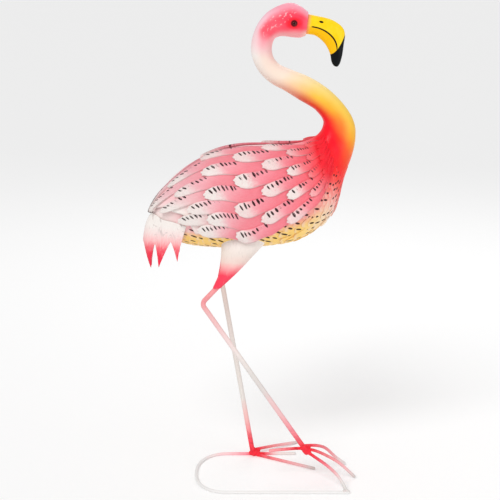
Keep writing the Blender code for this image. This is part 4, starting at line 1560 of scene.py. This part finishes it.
def paint_eye():
    """Black enamel with a faint brown iris round the pupil."""
    made, graph, shader = enamel("eye_bead", 0.06)
    x, _, z = graph.split(object_place(graph))
    off_x, off_z = (x - EYE_PLACE[0]) / EYE_RADIUS, (z - EYE_PLACE[1]) / EYE_RADIUS
    out = graph.math("SQRT", off_x * off_x + off_z * off_z)
    fibres = graph.noise(graph.join(off_x / (out + 0.1) * 5.0, off_z / (out + 0.1) * 5.0, 0.0), 1.0, 2.0)
    iris = graph.band(out, (0.32, 0.46), (0.66, 0.84))
    colour = graph.mix(iris * (0.55 + 0.9 * (fibres - 0.5)), EYE_BLACK, IRIS_BROWN)
    connect(graph, colour, shader, "Base Color")
    shader.inputs["Coat Weight"].default_value = 0.1
    shader.inputs["Specular IOR Level"].default_value = 0.15
    return made


eye_paint = paint_eye()
eyes = [make_eye("right", RIGHT), make_eye("left", LEFT)]
print("eye triangles:", count(eyes[0]))

# %% [markdown]
# ## Thighs
# Each real thigh is a cone of sheet that is welded to the belly and closes round the top of its
# leg. It could be a plain cone, but it flares where it meets the belly. A smooth curve through
# five measured ovals gives that flare, and rings swept along it make one even skin.

# %% Thigh cones
LEG_DIAMETER = 9.5
THIGH_WALL = 3.0
THIGH_STATIONS = (
    (-6, 21, 490, 54, 20),
    (-11, 25, 463, 43, 20),
    (-22.5, 30, 438, 31.5, 17.5),
    (-39.5, 33, 405, 17.5, 12),
)
RIGHT_HIP = (-62, -34, 374)
LEFT_HIP = (-55, 32, 374)
THIGH_ROWS, THIGH_COLUMNS = 60, 64


def make_thigh(name, side, hip):
    """A cone from the belly to the hip. Each station is (x, y, z, half length, half width)."""
    low_radius = LEG_DIAMETER / 2 + THIGH_WALL
    rows = [(x, side * y, z, a, b) for x, y, z, a, b in THIGH_STATIONS] + [(*hip, low_radius, low_radius)]
    rings = curve_through(rows, np.linspace(0.0, len(rows) - 1, THIGH_ROWS))
    turns = np.linspace(0.0, 2 * math.pi, THIGH_COLUMNS, endpoint=False)
    x = rings[:, 0, None] + rings[:, 3, None] * np.cos(turns)
    y = rings[:, 1, None] + rings[:, 4, None] * np.sin(turns)
    z = np.repeat(rings[:, 2, None], THIGH_COLUMNS, axis=1)
    places = np.stack([x, y, z], axis=-1).reshape(-1, 3) * MM
    return grid_object(
        name,
        places,
        (THIGH_ROWS, THIGH_COLUMNS),
        lambda i, j: (i / (THIGH_ROWS - 1), j / THIGH_COLUMNS),
        closed_round=True,
        start=places[:THIGH_COLUMNS].mean(axis=0),
        end=places[-THIGH_COLUMNS:].mean(axis=0) - np.array([0, 0, 2 * MM]),
    )


print("ovals through each thigh:", len(THIGH_STATIONS) + 1)


# %% Thigh paint
THIGH_BANDS = (
    (0.368, (0.90, 0.05, 0.10)), (0.399, (0.94, 0.06, 0.11)), (0.408, (0.94, 0.24, 0.27)),
    (0.416, (0.93, 0.42, 0.42)), (0.425, (0.85, 0.65, 0.59)), (0.440, (0.82, 0.72, 0.66)),
    (0.470, WHITE),
)


def paint_thigh():
    """Bands by height over a grain that runs down the cone."""
    made, graph, shader = enamel("thigh_paint", 0.36)
    place = object_place(graph)
    _, _, height = graph.split(place)
    wobble = graph.noise(place, 45.0, 3.0) - 0.5
    colour = height_ramp(graph, height + wobble * 0.014, 0.36, 0.48, THIGH_BANDS)
    grain = graph.noise(graph.vector_math("MULTIPLY", place, (1.0, 1.0, 0.22)), 320.0, 2.0)
    colour = graph.mix(graph.smooth(grain, 0.55, 0.75) * 0.22, colour, GREY)
    connect(graph, spray(graph, colour, 0.10), shader, "Base Color")
    connect(graph, bump(graph, grain, 0.0004), shader, "Normal")
    return made


thigh_paint = paint_thigh()
thighs = [make_thigh("right_thigh_cone", RIGHT, RIGHT_HIP), make_thigh("left_thigh_cone", LEFT, LEFT_HIP)]
for thigh in thighs:
    thigh.data.materials.append(thigh_paint)
    print(thigh.name, "triangles:", count(thigh))

# %% [markdown]
# ## Rods
# The real legs, toes and rail are bent from round rod. A curve with a bevel could show them, but
# it gives the paint no distance along the rod and no flat underside. Here a route is a row of
# points that carry their own radius. A small tree turns it into a curve, sweeps a circle along
# it and keeps the distance from the start for the paint. Whatever would lie under the ground is
# pressed flat on it.

# %% Rod tree
ROD_SIDES = 24


def rod_tree():
    tree = bpy.data.node_groups.new("rods", "GeometryNodeTree")
    tree.interface.new_socket("Route", in_out="INPUT", socket_type="NodeSocketGeometry")
    tree.interface.new_socket("Paint", in_out="INPUT", socket_type="NodeSocketMaterial")
    tree.interface.new_socket("Rod", in_out="OUTPUT", socket_type="NodeSocketGeometry")
    graph = Graph(tree)
    given = graph.add("NodeGroupInput")
    route, paint = (Wire(graph, socket) for socket in given.outputs[:2])
    curve = graph.wire("GeometryNodeMeshToCurve", None, {"Mesh": route})
    length = graph.wire("GeometryNodeSplineParameter", None, None, 1)
    settings = {"data_type": "FLOAT", "domain": "POINT"}
    values = {"Geometry": curve, "Name": "along", "Value": length}
    curve = graph.wire("GeometryNodeStoreNamedAttribute", settings, values)
    circle = graph.wire("GeometryNodeCurvePrimitiveCircle", None, {"Resolution": ROD_SIDES, "Radius": 1.0})
    values = {"Curve": curve, "Profile Curve": circle, "Scale": graph.named("thick"), "Fill Caps": True}
    swept = graph.wire("GeometryNodeCurveToMesh", None, values)
    x, y, z = graph.split(graph.wire("GeometryNodeInputPosition"))
    flat = graph.join(x, y, graph.math("MAXIMUM", z, 0.0))
    pressed = graph.wire("GeometryNodeSetPosition", None, {"Geometry": swept, "Position": flat})
    painted = graph.wire("GeometryNodeSetMaterial", None, {"Geometry": pressed, "Material": paint})
    graph.add("NodeGroupOutput", None, {0: painted})
    return tree


rods_tree = rod_tree()
print("rod tree:", len(rods_tree.nodes), "nodes")


# %% A rod along a route
def spaced(route, radius, spacing=2.2):
    """The route's points at an even spacing, with closer ones where its ends are rounded."""
    route = np.asarray(route, float)
    lengths = np.concatenate([[0.0], np.cumsum(np.linalg.norm(np.diff(route, axis=0), axis=1))])
    total = lengths[-1]
    rounding = radius * np.array([0.0, 0.04, 0.12, 0.25, 0.45, 0.7, 1.0])
    middle = np.linspace(radius, total - radius, max(int(total / spacing), 3))[1:-1]
    along = np.concatenate([rounding, middle, total - rounding[::-1]])
    points = np.stack([np.interp(along, lengths, route[:, axis]) for axis in range(3)], axis=1)
    from_end = np.minimum(np.minimum(along, total - along) / radius, 1.0)
    thick = radius * np.sqrt(np.maximum(1 - (1 - from_end) ** 2, 0.0025))
    return points * MM, thick * MM, total * MM


def make_rod(name, route, diameter, bands):
    """A rod along a route of drawing points, painted in bands of (share of its length, colour)."""
    points, thick, total = spaced(route, diameter / 2)
    mesh = bpy.data.meshes.new(name)
    mesh.from_pydata(points.tolist(), [(k, k + 1) for k in range(len(points) - 1)], [])
    set_attribute(mesh, "thick", thick)
    made = link(name, mesh)
    modifier = made.modifiers.new("rod", "NODES")
    modifier.node_group = rods_tree
    set_input(modifier, "Paint", paint_rod(name + "_paint", total, bands))
    settled(made)
    finish_mesh(made.data)
    return made


def paint_rod(name, total, bands):
    """Bands along a rod, with darker patches where it is red."""
    made, graph, shader = enamel(name, 0.38)
    along = graph.attribute("along")
    place = object_place(graph)
    wobble = graph.noise(place, 60.0, 2.0) - 0.5
    colour = graph.ramp(bands, along / total + wobble * 0.05)
    grain = graph.noise(place, 500.0, 3.0)
    colour = graph.mix(graph.smooth(grain, 0.55, 0.8) * 0.10, colour, GREY)
    _, green, _ = graph.split(colour)
    patches = graph.smooth(graph.noise(place, 150.0, 2.0), 0.48, 0.64) * graph.clamp(1.1 - green * 2.2)
    colour = graph.mix(patches * 0.6, colour, graph.vector_math("MULTIPLY", colour, (0.66, 0.55, 0.55)))
    connect(graph, colour, shader, "Base Color")
    connect(graph, bump(graph, grain, 0.0003), shader, "Normal")
    return made


print("rings of a straight rod of 100 mm:", len(spaced([(0, 0, 0), (100, 0, 0)], 3.0)[0]))


# %% Rod routes
LEG_SOCKET = 9.0
KNEE_RADIUS = 11.0
WIRE_DIAMETER = 6.0
GROUND_FLAT = 0.3
RIGHT_KNEE = (-91, -39, 344.5)
RIGHT_ANKLE = (108.7, -53, 54)
LEFT_ANKLE = (6.5, 65, 0)
FEET = {
    "right_middle_toe": ((105, -53, 59), (122, -53.5, 57), (144.5, -54, 47.5), (172, -55, 31), (202, -56, 0)),
    "right_inner_toe": ((100.5, -53, 66), (126.5, -40, 61.5), (146, -26, 50.5), (167, -8, 25), (187, 12, 0)),
    "right_outer_toe": (
        (107.5, -53, 55), (124.5, -66, 47.5), (146.5, -85, 38),
        (164.5, -102, 26), (175.5, -117, 13), (181, -129, 0),
    ),
    "right_hind_toe": ((103.5, -53, 61), (78, -51, 59), (36, -46, 53)),
    "left_middle_toe": ((6.5, 65, 0), (92, 67, 0)),
    "left_inner_toe": ((6.5, 65, 0), (127, -13, 0)),
    "left_outer_toe": ((5, 65, 11), (50, 95, 8), (99, 129, 0)),
}
RAIL_REAR, RAIL_RIGHT_SIDE, RAIL_END = -104.0, -129.0, 187.0
RAIL_BEND, RAIL_FULLNESS = 64.0, 1.15
LOW = WIRE_DIAMETER / 2 - GROUND_FLAT
print("drawing points of the toes:", {toe: len(points) for toe, points in FEET.items()})


# %% Route helpers
def bent_route(start, corner, end, radius, steps=24):
    """A route that turns at corner through an arc."""
    start, corner, end = Vector(start), Vector(corner), Vector(end)
    before, after = (start - corner).normalized(), (end - corner).normalized()
    half = before.angle(after) / 2
    middle = corner + (before + after).normalized() * (radius / math.sin(half))
    sideways = (corner - middle).normalized()
    along = (after - before).normalized()
    sweep = math.pi / 2 - half
    turns = [sweep * (2 * step / steps - 1) for step in range(steps + 1)]
    arc = [middle + (sideways * math.cos(turn) + along * math.sin(turn)) * radius for turn in turns]
    return [start, *arc, end]


def toe_route(points):
    """A toe's drawing points, lifted to lie on the ground, with a smooth curve through them."""
    placed = [(x, y, max(z, LOW)) for x, y, z in points]
    return curve_through(placed, np.linspace(0.0, len(placed) - 1, 12 * (len(placed) - 1) + 1))


def rail_route():
    """The rail: from the left ankle round the rear in a full bend and forward on the right side."""
    left_y = LEFT_ANKLE[1]
    centre_x, centre_y = RAIL_REAR + RAIL_BEND, (left_y + RAIL_RIGHT_SIDE) / 2
    spread = (left_y - RAIL_RIGHT_SIDE) / 2
    points = [(LEFT_ANKLE[0], left_y)]
    for turn in np.linspace(0.0, math.pi, 90):
        back = max(math.sin(turn), 0.0) ** (1 / RAIL_FULLNESS)
        across = math.copysign(abs(math.cos(turn)) ** (1 / RAIL_FULLNESS), math.cos(turn))
        points.append((centre_x - RAIL_BEND * back, centre_y + spread * across))
    points.append((RAIL_END, RAIL_RIGHT_SIDE))
    return [(x, y, LOW) for x, y in points]


def leg_routes():
    """The bent right leg and the straight left one, from inside the thigh down to the ankle."""
    hip, knee, ankle = Vector(RIGHT_HIP), Vector(RIGHT_KNEE), Vector(RIGHT_ANKLE)
    top = hip + (hip - knee).normalized() * LEG_SOCKET
    right = bent_route(top, knee, ankle, KNEE_RADIUS)
    hip, ankle = Vector(LEFT_HIP), Vector(LEFT_ANKLE)
    way = (hip - ankle).normalized()
    return right, [hip + way * LEG_SOCKET, ankle - way * 1.0]


print("points on the rail:", len(rail_route()))


# %% Colours along the rods
TOE_BANDS = (
    (0.0, RED), (0.10, (0.92, 0.03, 0.05)), (0.20, (0.88, 0.12, 0.15)), (0.34, (0.87, 0.23, 0.25)),
    (0.48, (0.88, 0.31, 0.33)), (0.62, (0.87, 0.40, 0.42)), (0.78, (0.85, 0.49, 0.50)),
    (0.92, (0.70, 0.57, 0.56)), (1.0, (0.58, 0.53, 0.51)),
)
OUTER_TOE_BANDS = (
    (0.0, RED), (0.18, (0.86, 0.05, 0.08)), (0.32, (0.86, 0.13, 0.17)), (0.46, (0.87, 0.26, 0.30)),
    (0.60, (0.84, 0.42, 0.44)), (0.72, (0.79, 0.60, 0.60)), (0.82, (0.74, 0.69, 0.67)),
    (1.0, (0.66, 0.64, 0.62)),
)
HIND_TOE_BANDS = (
    (0.0, RED), (0.25, (0.75, 0.03, 0.05)), (0.45, (0.88, 0.16, 0.19)), (0.7, (0.90, 0.26, 0.29)),
    (1.0, (0.90, 0.36, 0.38)),
)
MIDDLE_TOE_BANDS = (
    (0.0, RED), (0.24, (0.92, 0.03, 0.05)), (0.34, (0.90, 0.20, 0.24)), (0.46, (0.89, 0.52, 0.53)),
    (0.62, (0.84, 0.72, 0.70)), (1.0, (0.76, 0.72, 0.70)),
)
INNER_TOE_BANDS = (
    (0.0, RED), (0.14, (0.90, 0.08, 0.11)), (0.30, (0.88, 0.22, 0.25)), (0.50, (0.88, 0.30, 0.33)),
    (0.66, (0.87, 0.42, 0.44)), (0.80, (0.83, 0.68, 0.67)), (1.0, (0.78, 0.75, 0.73)),
)
RIGHT_LEG_BANDS = (
    (0.0, (0.88, 0.24, 0.27)), (0.06, (0.88, 0.35, 0.36)), (0.11, (0.86, 0.32, 0.34)),
    (0.16, (0.85, 0.46, 0.46)), (0.25, (0.84, 0.54, 0.54)), (0.33, (0.85, 0.66, 0.65)),
    (0.42, (0.81, 0.73, 0.70)), (0.54, (0.71, 0.67, 0.64)), (0.63, (0.70, 0.64, 0.62)),
    (0.70, (0.80, 0.56, 0.56)), (0.78, (0.84, 0.48, 0.49)), (0.85, (0.88, 0.32, 0.36)),
    (0.91, (0.90, 0.18, 0.22)), (0.96, (0.92, 0.05, 0.07)),
)
LEFT_LEG_BANDS = (
    (0.0, (0.70, 0.60, 0.54)), (0.12, (0.70, 0.60, 0.55)), (0.30, (0.76, 0.68, 0.64)),
    (0.66, (0.77, 0.73, 0.69)), (0.76, (0.87, 0.55, 0.53)), (0.84, (0.93, 0.34, 0.36)),
    (0.90, (0.95, 0.09, 0.13)), (1.0, (0.93, 0.02, 0.04)),
)
RAIL_BANDS = (
    (0.0, RED), (0.03, PINK), (0.09, PALE_PINK), (0.20, (0.82, 0.80, 0.79)),
    (1.0, (0.80, 0.79, 0.78)),
)
print("stops on the right leg:", len(RIGHT_LEG_BANDS))


# %% All rods
right_route, left_route = leg_routes()
rods = {
    "right_leg": make_rod("right_leg_rod", right_route, LEG_DIAMETER, RIGHT_LEG_BANDS),
    "left_leg": make_rod("left_leg_rod", left_route, LEG_DIAMETER, LEFT_LEG_BANDS),
    "rail": make_rod("rail_wire", rail_route(), WIRE_DIAMETER, RAIL_BANDS),
}
SPECIAL_TOES = {
    "right_hind_toe": HIND_TOE_BANDS,
    "right_outer_toe": OUTER_TOE_BANDS,
    "right_inner_toe": INNER_TOE_BANDS,
    "left_middle_toe": MIDDLE_TOE_BANDS,
}
for toe, points in FEET.items():
    bands = SPECIAL_TOES.get(toe, TOE_BANDS)
    rods[toe] = make_rod(toe + "_wire", toe_route(points), WIRE_DIAMETER, bands)
print("rods:", {name: count(rod) for name, rod in rods.items()})

# %% [markdown]
# ## Welds
# Where toes and rail meet, the real rods are held by lumpy beads of weld metal under the paint.
# Joined rods alone would meet at sharp seams. Overlapping balls are fused by a fine Remesh and
# softened, which gives one skin with the swells that real beads have.

# %% Welds
WELD_VOXEL = 0.7 * MM
RIGHT_WELD = (
    (106.5, -53, 57, 7.0), (103.5, -53, 62, 6.4), (108, -53, 53, 5.6), (111, -56, 53.5, 4.6),
    (111, -49, 60, 4.4), (99, -53, 61, 4.2), (114.5, -54, 57, 3.7), (115, -59, 52, 3.6),
    (114, -47, 62.5, 3.5),
)
LEFT_WELD = (
    (6.5, 65, 5, 6.6), (5.5, 65, 12, 6.0), (12, 64, 4.5, 5.0), (2, 65, 4.5, 4.6),
    (18, 64.5, 3.8, 4.2), (16, 58, 3.6, 4.1), (10, 69, 8, 4.8), (17, 72, 8, 4.0), (8, 60, 4.0, 4.6),
)
RAIL_WELD = (
    (181, -127.6, 4.4, 4.2), (179, -123, 5.4, 4.0), (184, -128, 3.6, 3.8), (176, -128, 3.4, 3.8),
)


def make_weld(name, lumps, paint):
    """Weld metal as a smooth skin over overlapping balls, each (x, y, z, radius)."""
    shell = bmesh.new()
    for x, y, z, radius in lumps:
        made = bmesh.ops.create_icosphere(shell, subdivisions=3, radius=radius * MM)
        for vertex in made["verts"]:
            vertex.co += Vector((x, y, z)) * MM
            vertex.co.z = max(vertex.co.z, 0.0)
    mesh = bpy.data.meshes.new(name)
    shell.to_mesh(mesh)
    shell.free()
    weld = link(name, mesh)
    remesh = weld.modifiers.new("skin", "REMESH")
    remesh.mode = "VOXEL"
    remesh.voxel_size = WELD_VOXEL
    soften = weld.modifiers.new("soften", "SMOOTH")
    soften.factor = 0.5
    soften.iterations = 4
    settled(weld)
    for vertex in weld.data.vertices:
        vertex.co.z = max(vertex.co.z, 0.0)
    weld.data.materials.clear()
    weld.data.materials.append(paint)
    finish_mesh(weld.data)
    return weld


def paint_weld(name, colour):
    """Enamel over lumpy metal, a darker red on the lumps."""
    made, graph, shader = enamel(name, 0.42)
    lumps = graph.noise(object_place(graph), 260.0, 3.0)
    shaded = graph.mix(graph.smooth(lumps, 0.52, 0.75) * 0.35, colour, SHADE)
    connect(graph, shaded, shader, "Base Color")
    connect(graph, bump(graph, lumps, 0.0014), shader, "Normal")
    return made


red_weld = paint_weld("red_weld", (0.90, 0.03, 0.05))
pale_weld = paint_weld("pale_weld", (0.70, 0.66, 0.64))
for rod, name, lumps, paint in (
    ("right_leg", "right_weld", RIGHT_WELD, red_weld),
    ("left_leg", "left_weld", LEFT_WELD, red_weld),
    ("rail", "rail_weld", RAIL_WELD, pale_weld),
):
    rods[rod] = joined(rods[rod].name, [rods[rod], make_weld(name, lumps, paint)])
    print(rods[rod].name, "with its weld, triangles:", count(rods[rod]))

# %% [markdown]
# ## Studio
# The photo shows the bird on white, in soft light from the upper left. A pure white world would
# wash out its outline, so there is a plain pale floor, a broad key light, a weak fill and a rim
# light. The camera stands where the photo's camera was found to be, so the two can be compared.

# %% Camera and light
CAMERA_BACK = 2.6
CAMERA_HEIGHT = 1.0683
CAMERA_PITCH = math.radians(13.615)
FOCAL_PIXELS = 1416.64
FRAME_PIXELS = 500.0
SENSOR = 36.0
MIDDLE = Vector((0.0, 0.0, 0.5))
LIGHTS = (
    ("SUN", "key", (-1.0, -1.9, 2.6), 32.0, 1.5),
    ("AREA", "fill", (1.9, -1.6, 1.0), 1.8, 12.0),
    ("AREA", "rim", (0.4, 1.8, 2.0), 1.4, 10.0),
)
FLOOR_REACH = 30


def make_camera():
    data = bpy.data.cameras.new("camera")
    data.sensor_width = SENSOR
    data.lens = FOCAL_PIXELS / FRAME_PIXELS * data.sensor_width
    made = link("camera", data)
    made.location = (0.0, -CAMERA_BACK, CAMERA_HEIGHT)
    made.rotation_euler = (math.pi / 2 - CAMERA_PITCH, 0.0, 0.0)
    bpy.context.scene.camera = made


def make_light(kind, name, place, spread, strength):
    """A light aimed at the bird. Its spread is a size in metres, or a sun's angle in degrees."""
    data = bpy.data.lights.new(name, kind)
    if kind == "SUN":
        data.angle = math.radians(spread)
    else:
        data.size = spread
    data.energy = strength
    made = link(name, data)
    made.location = place
    made.rotation_euler = (MIDDLE - Vector(place)).to_track_quat("-Z", "Y").to_euler()


print("lens:", round(FOCAL_PIXELS / FRAME_PIXELS * SENSOR, 1), "mm")


# %% Floor and world
def make_studio():
    """Camera, lights, an even white world and a pale floor that the bird stands on."""
    make_camera()
    for light in LIGHTS:
        make_light(*light)
    world = bpy.data.worlds.new("studio")
    bpy.context.scene.world = world
    world.use_nodes = True
    background = world.node_tree.nodes["Background"]
    background.inputs["Color"].default_value = (1.0, 1.0, 1.0, 1.0)
    background.inputs["Strength"].default_value = 0.5
    bpy.context.scene.view_settings.view_transform = "Standard"
    mesh = bpy.data.meshes.new("floor")
    corners = [(x * FLOOR_REACH, y * FLOOR_REACH, 0) for x, y in ((-1, -1), (1, -1), (1, 1), (-1, 1))]
    mesh.from_pydata(corners, [], [(0, 1, 2, 3)])
    floor = link("floor", mesh)
    made, graph, shader = enamel("floor_paint", 0.9)
    shader.inputs["Base Color"].default_value = (0.90, 0.90, 0.90, 1.0)
    shader.inputs["Emission Color"].default_value = (1.0, 1.0, 1.0, 1.0)
    shader.inputs["Emission Strength"].default_value = 0.10
    shader.inputs["Coat Weight"].default_value = 0.0
    mesh.materials.append(made)


make_studio()
print("lights:", [light[1] for light in LIGHTS])

# %% [markdown]
# ## Hand over
# The statue doesn't move, so every piece rides on the one body of the frame, and the solid
# that each piece stands for is hidden.

# %% Hand over to the frame
body = joined("body_shell", [body, small])
for piece, node, slot in (
    (body, "body", "feather_paint"),
    (wings[0], "right_wing", "feather_paint"),
    (wings[1], "left_wing", "feather_paint"),
    (tail, "tail", "feather_paint"),
    (beak, "beak", "beak_paint"),
    (eyes[0], "right_eye", "eye_bead"),
    (eyes[1], "left_eye", "eye_bead"),
    (thighs[0], "right_thigh", "leg_paint"),
    (thighs[1], "left_thigh", "leg_paint"),
    *((rod, name, "rail_paint" if name == "rail" else "leg_paint") for name, rod in rods.items()),
):
    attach(piece, BODY)
    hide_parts(node)
    print(piece.name, count(piece))
